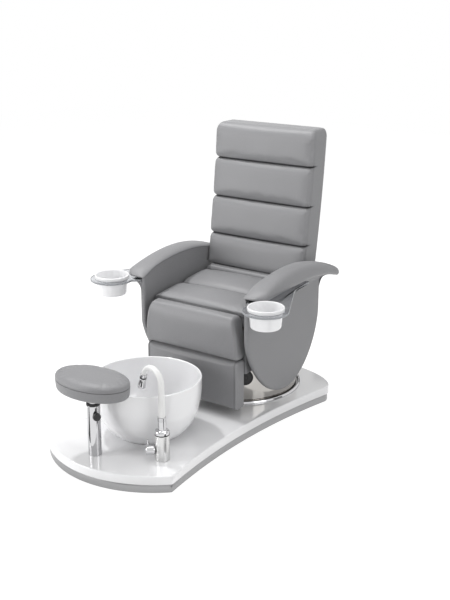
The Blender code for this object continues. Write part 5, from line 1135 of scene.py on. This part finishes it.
def make_arm_panel(settings, side, name):
    """Petal panel: upright sections along Y, from a lower edge z(y) up to the shoulder.

    The lower edge is z = t - h (1 - e^2)^(1/p) with e running from the tip to each end. The outer face flares
    out as a quarter circle above, the inner face stands clear of the drum below and runs up to the pad's inner
    seam as a thin lip, and all edges are round. Each end closes flat, from the outer face across to the inner.
    """
    front, rear, end = settings.front_y, settings.rear_y, settings.rear_y + FLARE_BACK
    y = spaced(front, end - 0.0004, 110, (front, rear, end), 0.014, 15)
    y = np.sort(np.concatenate([y, SLOT_Y + np.array([-1e-5, 1e-5]), rear + np.array([-1e-5, 1e-5])]))
    crest = shoulder(settings, y) - TOUCH
    far, power = np.where(y < PETAL_TIP_Y, front, rear), np.where(y < PETAL_TIP_Y, *PETAL_POWERS)
    e = np.clip((y - PETAL_TIP_Y) / (far - PETAL_TIP_Y), 0.0, 1.0)
    petal = PETAL_TOP - (PETAL_TOP - settings.bottom) * (1.0 - e ** 2) ** (1.0 / power)
    back = np.clip((y - rear) / FLARE_BACK, 0.0, 1.0)
    wing = FLARE_START + (crest - FLARE_START) * np.sqrt(1.0 - (1.0 - back) ** 2)
    lower = np.where(y > rear, wing, petal)
    t = np.concatenate([np.linspace(0.0, 1.0, 14)[:-1] ** 2 * 0.10, np.linspace(0.10, 1.0, 44)])
    slotted = y < SLOT_Y
    outer_top = np.where(slotted, np.minimum(SLOT_Z, crest), crest)
    at_front = smooth((SLOT_Y - y) / (SLOT_Y - front) * 1.2)[:, None]
    flare_top = crest[:, None] + (SLOT_Z - crest[:, None]) * at_front
    reach = FLARE_OUT + (FLARE_FRONT - FLARE_OUT) * at_front
    bottom, _, seam, _, _ = pad_section(settings, y)
    lip_top = crest + (bottom + seam - 0.0012 - crest) * smooth((rear + 0.03 - y) / 0.04)

    def faces(z):
        lift = np.clip((z - FLARE_START) / (flare_top - FLARE_START), 0.0, 1.0)
        flare = 1.0 - np.sqrt(1.0 - (0.995 * lift) ** 2)
        outer = settings.inner + settings.thickness + reach * flare
        drum = np.sqrt(np.maximum(0.0, DRUM_CLEAR ** 2 - y ** 2))[:, None] - settings.inner
        inner = settings.inner + np.maximum(0.0, drum) * np.clip((DRUM_CLEAR_TOP - z) / 0.004, 0.0, 1.0)
        drop = np.clip((PETAL_TOP - z) / (PETAL_TOP - settings.bottom), 0.0, 1.0)
        front_y = PETAL_TIP_Y + (front - PETAL_TIP_Y) * np.sqrt(1.0 - drop ** PETAL_POWERS[0])
        rear_y = PETAL_TIP_Y + (rear - PETAL_TIP_Y) * np.sqrt(1.0 - drop ** PETAL_POWERS[1]) + FLARE_BACK * flare
        sideways = np.maximum(1e-6, np.minimum(y[:, None] - front_y, rear_y - y[:, None]))
        upwards = np.maximum(1e-6, z - lower[:, None])
        edge = sideways * upwards / np.hypot(sideways, upwards)
        fall = rounding(edge, PANEL_EDGE) / PANEL_EDGE * np.minimum(PANEL_EDGE, 0.45 * (outer - inner))
        return inner + fall, outer - fall

    quarter = np.linspace(0.25, 1.0, 4)
    outer_z = lower[:, None] + (outer_top - lower)[:, None] * t[::-1]
    ledge_z = outer_top[:, None] + (crest - outer_top)[:, None] * quarter
    lip_z = crest[:, None] + (lip_top - crest)[:, None] * quarter
    inner_z = np.concatenate([outer_z[:, ::-1], ledge_z, lip_z], axis=1)
    inner_x, outer_x = faces(inner_z)[0], faces(outer_z)[1]
    lip_x = inner_x[:, -1] + 0.0014
    ledge_x = np.where(slotted, np.minimum(SLOT_X, outer_x[:, 0]), 0.5 * (lip_x + outer_x[:, 0]))
    x = np.concatenate([inner_x, np.stack([lip_x, lip_x, ledge_x, ledge_x], axis=1), outer_x], axis=1)
    z = np.concatenate([inner_z, np.stack([lip_top, crest, crest, outer_top], axis=1), outer_z], axis=1)
    points = np.stack([side * x, np.broadcast_to(y[:, None], x.shape), z], axis=-1)
    count = len(t)
    across_to = np.concatenate([np.arange(count + 8), [count + 7, count + 3, count + 3, count - 1],
                                np.arange(count)[::-1]])
    points = np.concatenate([points[:1, across_to], points, points[-1:, across_to]])
    panel = surface("arm_wrap_" + name, points, (False, True), sharp=60.0)
    dress(panel, "chair", "hide", ("arm_panel_" + name,))


def make_arm_pad(settings, hide, side, name):
    """Arm pad: upright sections along Y over a flat underside, with a round lower edge and round ends.

    The outer curve is (cos^p, sin^p) up to the crown, and a quarter ellipse runs on to the inner seam; below
    the seam the pad stands back behind the panel's lip.
    """
    front, rear = pad_ends(settings)
    y = spaced(front, rear, 80, (front, rear), PAD_END, 31)
    bottom, height, seam, full, at_tail = pad_section(settings, y)
    crown_x = settings.inner + 0.62 * (settings.pad_outer - settings.inner)
    inner_x = (settings.inner + 0.030 * at_tail ** 2)[:, None]
    outer_x = (crown_x + (settings.pad_outer - crown_x) * (0.10 + 0.90 * full ** 1.5))[:, None]
    turn = np.minimum(0.016, 0.40 * height)[:, None]
    under = np.linspace(0.0, 1.0, 14)[:-1]
    edge = np.radians(np.linspace(-90.0, 0.0, 8))[:-1]
    swing = np.radians(np.linspace(0.0, 90.0, 30))
    inward = np.radians(np.linspace(0.0, 90.0, 16))[1:]
    below = np.array([0.97, 0.94, 0.70, 0.45, 0.20])
    step = np.array([0.0006, 0.0024, 0.0024, 0.0024, 0.0024])
    standing = inner_x + 0.0024
    x = np.concatenate([standing + (outer_x - turn - standing) * under, outer_x - turn * (1.0 - np.cos(edge)),
                        crown_x + (outer_x - crown_x) * np.cos(swing) ** 0.80,
                        crown_x - (crown_x - inner_x) * np.sin(inward), inner_x + step], axis=1)
    tall, seam_z = height[:, None], seam[:, None]
    rise = np.concatenate([np.zeros((len(y), 13)), turn * (1.0 + np.sin(edge)),
                           turn + (tall - turn) * np.sin(swing) ** 0.90,
                           seam_z + (tall - seam_z) * np.cos(inward), seam_z * below], axis=1)
    points = np.stack([side * x, np.broadcast_to(y[:, None], x.shape), bottom[:, None] + rise], axis=-1)
    on_seam = np.concatenate([np.zeros(13 + 7 + 30 + 14), [1.0, 0.8, 0.0, 0.0, 0.0, 0.0]])
    flat = np.concatenate([np.ones(13), np.zeros(7 + 30 + 15), np.ones(5)])
    held = np.broadcast_to(np.maximum(flat, on_seam), x.shape)
    # Painted shade along the pad's inner seam
    line = np.broadcast_to(0.55 * on_seam, x.shape)
    pad = surface("arm_cover_" + name, capped(points, bulge=0.006), (False, True), padded_ends(held), 180.0,
                  padded_ends(line, 0.0))
    stuff(pad, hide, hide.firm_swell)
    dress(pad, "chair", "hide", ("arm_pad_" + name,))


# Trays and cups

TONGUE_INNER = 0.303        # X of the tongue that runs back under the arm pad
TONGUE_WIDTH = 0.080
TONGUE_NECK_Y = -0.095
HOLE_RADIUS = 0.0775
TRAY_BEVEL = 0.0012
RING_SWEEP = (168.0, 375.0)     # part of the ring that shows, in degrees
CUP_NECK = 0.0765
CUP_WALL = 0.004
CUP_LIP_HEIGHT = 0.017


def make_tray(settings, side, name):
    """Clear tray: an outline of tongue and ring plate, carried round its edge to the hole for the cup."""
    low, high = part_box("tray_" + name)
    inner_x, rear_y = TONGUE_INNER, high.y
    outer_x = inner_x + TONGUE_WIDTH
    swing = np.radians(np.linspace(*RING_SWEEP, 100))
    centre = np.array([settings.x, settings.y])
    ring = centre + settings.radius * np.stack([np.cos(swing), np.sin(swing)], axis=1)
    lead = rounded([ring[-1], (outer_x, TONGUE_NECK_Y), (outer_x, rear_y), (inner_x, rear_y), (inner_x, -0.392),
                    ring[0]], (0.06, 0.006, 0.006, 0.04), 8)
    lead = resample(lead, 141)
    outline = np.concatenate([ring, lead[1:-1]])
    share_round = np.linspace(0.0, 1.0, 139)
    past = np.interp(share_round, (0.0, 0.42, 0.55, 0.63, 0.97, 1.0), (0.5, 85.0, 125.0, 135.0, 150.0, 152.5))
    hole_turn = np.concatenate([swing, np.radians(RING_SWEEP[1] + past)])
    hole = centre + HOLE_RADIUS * np.stack([np.cos(hole_turn), np.sin(hole_turn)], axis=1)
    tangent = unit(np.roll(outline, -1, axis=0) - np.roll(outline, 1, axis=0))
    outward = np.stack([tangent[:, 1], -tangent[:, 0]], axis=1)
    from_hole = unit(hole - centre)
    bevel = TRAY_BEVEL
    rows = [(outline - bevel * outward, low.z), (outline, low.z + bevel), (outline, high.z - bevel),
            (outline - bevel * outward, high.z), (hole + bevel * from_hole, high.z), (hole, high.z - bevel),
            (hole, low.z + bevel), (hole + bevel * from_hole, low.z)]
    points = np.stack([np.column_stack([row * (side, 1.0), np.full(len(row), z)]) for row, z in rows])
    tray = surface("clear_tray_" + name, points, (True, True), sharp=30.0)
    dress(tray, "chair", "acrylic", ("tray_" + name,))
    tray.data.materials.append(FINISH["edge"])
    upright = np.zeros(len(tray.data.polygons) * 3, np.float32)
    tray.data.polygons.foreach_get("normal", upright)
    on_edge = np.abs(upright.reshape(-1, 3)[:, 2]) < 0.9
    tray.data.polygons.foreach_set("material_index", on_edge.astype(np.int32))


def make_cup(settings, side, name):
    """White cup with a thick lip: a turned wall with a round bottom."""
    low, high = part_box("cup_" + name)
    lip, neck, base = settings.lip, CUP_NECK, settings.base
    step, floor = high.z - CUP_LIP_HEIGHT, low.z + CUP_WALL
    profile = [(0.0, low.z), (base - 0.002, low.z), (neck, step), (lip, step), (lip, high.z), (neck - 0.001, high.z),
               (base - 0.006, floor), (0.0, floor)]
    profile = rounded(profile, (0.012, 0.0012, 0.0025, 0.0052, 0.0030, 0.010), 7)
    cup = turned("cup_bowl_" + name, profile, (side * settings.x, settings.y, 0.0), count=128, sharp=50.0)
    dress(cup, "cup_" + name, "white", ("cup_" + name,))


# Frame inside

INSIDE = {
    "board": ("base_core", "seat_board", "back_board", "footrest_board"),
    "paint": ("pedestal", "turntable_plate", "front_board", "hinge_ear_left", "hinge_ear_right", "back_strap_left",
              "back_strap_right", "recline_crank", "recline_shaft", "recline_actuator"),
    "chrome": ("bearing_lower_race", "bearing_upper_race", "actuator_rod", "pedestal_bolt_1", "pedestal_bolt_2",
               "pedestal_bolt_3", "pedestal_bolt_4", "pedestal_bolt_5", "pedestal_bolt_6"),
}


def finish_inside():
    """Finishes of the CAD nodes that stay as they are."""
    for finish, names in INSIDE.items():
        for name in names:
            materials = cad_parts[name].data.materials
            materials.clear()
            materials.append(FINISH[finish])


# Stage

CAMERA_PLACE = (2.652, -3.974, 2.057)
SENSOR = 36.0
FLOOR_BOUNCE = (0.86, 0.86, 0.86)
FLOOR_SEEN = (0.35, 0.35, 0.35)
FLOOR_REACH = 9.0
LAMP_TARGET = (0.0, -0.3, 0.6)
CARD_TARGET = (0.0, -0.4, 0.5)
LAMPS = (                       # name, place, width and height
    ("key", (-1.9, -0.3, 4.4), 0.35, 0.35),
    ("top", (0.3, 0.0, 4.4), 3.0, 3.0),
    ("left", (-2.6, -3.7, 1.4), 1.6, 2.4),
    ("right", (3.8, -1.2, 2.0), 1.6, 2.4),
)
STANDING_CARDS = (              # name, place, width and height
    ("card_front", (0.4, -5.2, 0.9), 1.3, 2.6),
    ("card_right", (4.6, 1.4, 0.9), 1.6, 2.6),
    ("card_back", (-1.0, 4.8, 1.0), 2.2, 2.2),
    ("card_left", (-4.8, 1.6, 1.0), 2.2, 2.2),
)
LYING_CARDS = (                 # name, start, end and width
    ("card_low_right", (0.42, -1.00), (1.60, -0.92), 0.22),
    ("card_low_left", (-0.30, -1.24), (-0.75, -2.20), 0.26),
)


def seen_ray(nodes, links):
    """1 for camera, glossy and transmission rays, and 0 for the light that falls on the chair."""
    path = nodes.new("ShaderNodeLightPath")
    total = path.outputs["Is Camera Ray"]
    for kind in ("Is Glossy Ray", "Is Transmission Ray"):
        add = nodes.new("ShaderNodeMath")
        add.operation = "MAXIMUM"
        links.new(total, add.inputs[0])
        links.new(path.outputs[kind], add.inputs[1])
        total = add.outputs[0]
    return total


def make_room(settings):
    """White room: full white to the eye and to mirrors, and softer as light."""
    world = bpy.data.worlds.new("white_room")
    world.use_nodes = True
    nodes, links = world.node_tree.nodes, world.node_tree.links
    background = nodes["Background"]
    background.inputs["Color"].default_value = (1.0, 1.0, 1.0, 1.0)
    level = spread_of(nodes, links, seen_ray(nodes, links), settings.ambient, 1.0, 0.0, 1.0)
    links.new(level, background.inputs["Strength"])
    bpy.context.scene.world = world


def make_floor(settings):
    """Pale floor: bright as light that bounces, and lifted to white for the eye, with the chair's shadow kept."""
    reach = np.linspace(-FLOOR_REACH, FLOOR_REACH, 3)
    grid = np.stack(np.meshgrid(reach, reach, [-0.0005], indexing="ij"), axis=-1)[:, :, 0]
    floor = surface("floor", grid)
    material, nodes, links, shader = socketed("pale_floor", Roughness=0.9, Specular_IOR_Level=0.0,
                                              Emission_Color=(1.0, 1.0, 1.0, 1.0))
    seen = seen_ray(nodes, links)
    links.new(blend_of(nodes, links, seen, FLOOR_BOUNCE, FLOOR_SEEN), shader.inputs["Base Color"])
    links.new(spread_of(nodes, links, seen, 0.0, settings.lift, 0.0, 1.0), shader.inputs["Emission Strength"])
    floor.data.materials.append(material)


def aim(thing, place, target):
    """Put a lamp somewhere, facing a point."""
    back = unit(np.subtract(place, target))
    right = unit(np.cross((0.0, 0.0, 1.0) if abs(back[2]) < 0.95 else (0.0, 1.0, 0.0), back))
    columns = np.column_stack([right, np.cross(back, right), back])
    thing.matrix_world = Matrix.Translation(place) @ Matrix(columns.tolist()).to_4x4()


def make_lamp(name, place, width, height, power):
    """A soft rectangular lamp that faces the chair."""
    data = bpy.data.lights.new(name, "AREA")
    data.shape = "RECTANGLE"
    data.size, data.size_y, data.energy = width, height, power
    lamp = bpy.data.objects.new(name, data)
    bpy.context.scene.collection.objects.link(lamp)
    aim(lamp, place, LAMP_TARGET)


def make_card(name, grid):
    """A dark card beside the set, seen only in polished metal."""
    card = surface(name, grid)
    card.data.materials.append(FINISH["card"])
    card.visible_camera = False
    card.visible_diffuse = False
    card.visible_shadow = False
    card.visible_transmission = False


def standing(place, width, height):
    """Corners of a card that faces the chair."""
    across_x, up_y = np.array([-0.5, 0.5]) * width, np.array([-0.5, 0.5]) * height
    back = unit(np.subtract(place, CARD_TARGET))
    right = unit(np.cross((0.0, 0.0, 1.0), back))
    return np.asarray(place) + across_x[:, None, None] * right + up_y[None, :, None] * np.cross(back, right)


def lying(start, end, width):
    """Corners of a strip on the floor between two places."""
    start, end = np.array([*start, 0.0005]), np.array([*end, 0.0005])
    aside = np.cross((0.0, 0.0, 1.0), unit(end - start)) * 0.5 * width
    return np.stack([[start - aside, start + aside], [end - aside, end + aside]])


def make_camera(settings):
    """Camera at the photograph's place: azimuth round the chair, then pitch down."""
    azimuth, pitch = settings.azimuth, settings.pitch
    ahead = np.array([-math.sin(azimuth) * math.cos(pitch), math.cos(azimuth) * math.cos(pitch), -math.sin(pitch)])
    right = np.array([math.cos(azimuth), math.sin(azimuth), 0.0])
    data = bpy.data.cameras.new("photo_camera")
    data.sensor_fit, data.sensor_height, data.lens = "VERTICAL", SENSOR, settings.lens
    camera = bpy.data.objects.new("photo_camera", data)
    bpy.context.scene.collection.objects.link(camera)
    columns = np.column_stack([right, np.cross(right, ahead), -ahead])
    camera.matrix_world = Matrix.Translation(CAMERA_PLACE) @ Matrix(columns.tolist()).to_4x4()
    bpy.context.scene.camera = camera


# Operators

class CHAIR_OT_finishes(bpy.types.Operator):
    """Make every material, and finish the CAD nodes that stay in view"""
    bl_idname = "chair.finishes"
    bl_label = "Finishes"

    def execute(self, context):
        FINISH.update(make_finishes(chosen("chair_upholstery"), chosen("chair_finish")))
        finish_inside()
        return {"FINISHED"}


class CHAIR_OT_platform(bpy.types.Operator):
    """Make the white slab and the brushed plinth band"""
    bl_idname = "chair.platform"
    bl_label = "Platform"

    def execute(self, context):
        make_platform(chosen("chair_platform"))
        return {"FINISHED"}


class CHAIR_OT_base(bpy.types.Operator):
    """Make the floor ring, the mirror drum and its plug"""
    bl_idname = "chair.base"
    bl_label = "Swivel base"

    def execute(self, context):
        make_base()
        return {"FINISHED"}


class CHAIR_OT_basin(bpy.types.Operator):
    """Make the foot basin and its waste"""
    bl_idname = "chair.basin"
    bl_label = "Foot basin"

    def execute(self, context):
        make_basin(chosen("chair_basin"))
        return {"FINISHED"}


class CHAIR_OT_mixer(bpy.types.Operator):
    """Make the mixer, its handle, the gooseneck and the hand spray"""
    bl_idname = "chair.mixer"
    bl_label = "Mixer and spray"

    def execute(self, context):
        make_mixer(chosen("chair_mixer"))
        return {"FINISHED"}


class CHAIR_OT_footrest(bpy.types.Operator):
    """Make the footrest's stand and its oval pad"""
    bl_idname = "chair.footrest"
    bl_label = "Footrest"

    def execute(self, context):
        make_footrest_stand(chosen("chair_footrest"))
        make_footrest_pad(chosen("chair_footrest"), chosen("chair_upholstery"))
        return {"FINISHED"}


class CHAIR_OT_seat(bpy.types.Operator):
    """Make the seat cushion, the knee roll, the leg pad and the wrapped box"""
    bl_idname = "chair.seat"
    bl_label = "Seat"

    def execute(self, context):
        make_seat_cushion(chosen("chair_seat"), chosen("chair_upholstery"))
        make_leg_pads(chosen("chair_upholstery"))
        make_carcass()
        return {"FINISHED"}


class CHAIR_OT_back(bpy.types.Operator):
    """Make the back cushion and its rear panel"""
    bl_idname = "chair.back"
    bl_label = "Backrest"

    def execute(self, context):
        make_back_cushion(chosen("chair_back"), chosen("chair_upholstery"))
        make_back_panel(chosen("chair_back"))
        return {"FINISHED"}


class CHAIR_OT_arms(bpy.types.Operator):
    """Make both arm panels and both arm pads"""
    bl_idname = "chair.arms"
    bl_label = "Arms"

    def execute(self, context):
        for name, side in SIDES:
            make_arm_panel(chosen("chair_arm"), side, name)
            make_arm_pad(chosen("chair_arm"), chosen("chair_upholstery"), side, name)
        return {"FINISHED"}


class CHAIR_OT_trays(bpy.types.Operator):
    """Make both clear trays and their cups"""
    bl_idname = "chair.trays"
    bl_label = "Trays and cups"

    def execute(self, context):
        for name, side in SIDES:
            make_tray(chosen("chair_tray"), side, name)
            make_cup(chosen("chair_tray"), side, name)
        return {"FINISHED"}


class CHAIR_OT_stage(bpy.types.Operator):
    """Make the floor, the room, the lamps and the camera"""
    bl_idname = "chair.stage"
    bl_label = "Stage"

    def execute(self, context):
        settings = chosen("chair_stage")
        make_room(settings)
        make_floor(settings)
        for name, place, width, height in LAMPS:
            make_lamp(name + "_lamp", place, width, height, getattr(settings, name))
        for name, *shape in STANDING_CARDS:
            make_card(name, standing(*shape))
        for name, *shape in LYING_CARDS:
            make_card(name, lying(*shape))
        make_camera(settings)
        context.scene.view_settings.view_transform = "Standard"
        return {"FINISHED"}


OPERATORS = (CHAIR_OT_finishes, CHAIR_OT_platform, CHAIR_OT_base, CHAIR_OT_basin, CHAIR_OT_mixer, CHAIR_OT_footrest,
             CHAIR_OT_seat, CHAIR_OT_back, CHAIR_OT_arms, CHAIR_OT_trays, CHAIR_OT_stage)


class CHAIR_PT_looks(bpy.types.Panel):
    """Pieces of the podiatry chair and their settings"""
    bl_idname = "CHAIR_PT_looks"
    bl_label = "Podiatry Chair"
    bl_space_type = "VIEW_3D"
    bl_region_type = "UI"
    bl_category = "Podiatry Chair"

    def draw(self, context):
        for operator in OPERATORS:
            self.layout.operator(operator.bl_idname)
        for group, settings in GROUPS.items():
            column = self.layout.box().column()
            column.label(text=settings.__doc__)
            for prop in settings.__annotations__:
                column.prop(getattr(context.scene, group), prop)


def register():
    """Add the settings, the operators and the panel."""
    for group, settings in GROUPS.items():
        bpy.utils.register_class(settings)
        setattr(bpy.types.Scene, group, PointerProperty(type=settings))
    for shown in (*OPERATORS, CHAIR_PT_looks):
        bpy.utils.register_class(shown)


def unregister():
    """Take the panel, the operators and the settings away again."""
    for shown in (CHAIR_PT_looks, *reversed(OPERATORS)):
        bpy.utils.unregister_class(shown)
    for group, settings in GROUPS.items():
        delattr(bpy.types.Scene, group)
        bpy.utils.unregister_class(settings)


def main():
    register()
    bpy.ops.chair.finishes()
    bpy.ops.chair.platform()
    bpy.ops.chair.base()
    bpy.ops.chair.basin()
    bpy.ops.chair.mixer()
    bpy.ops.chair.footrest()
    bpy.ops.chair.seat()
    bpy.ops.chair.back()
    bpy.ops.chair.arms()
    bpy.ops.chair.trays()
    bpy.ops.chair.stage()


if __name__ == "__main__":
    main()
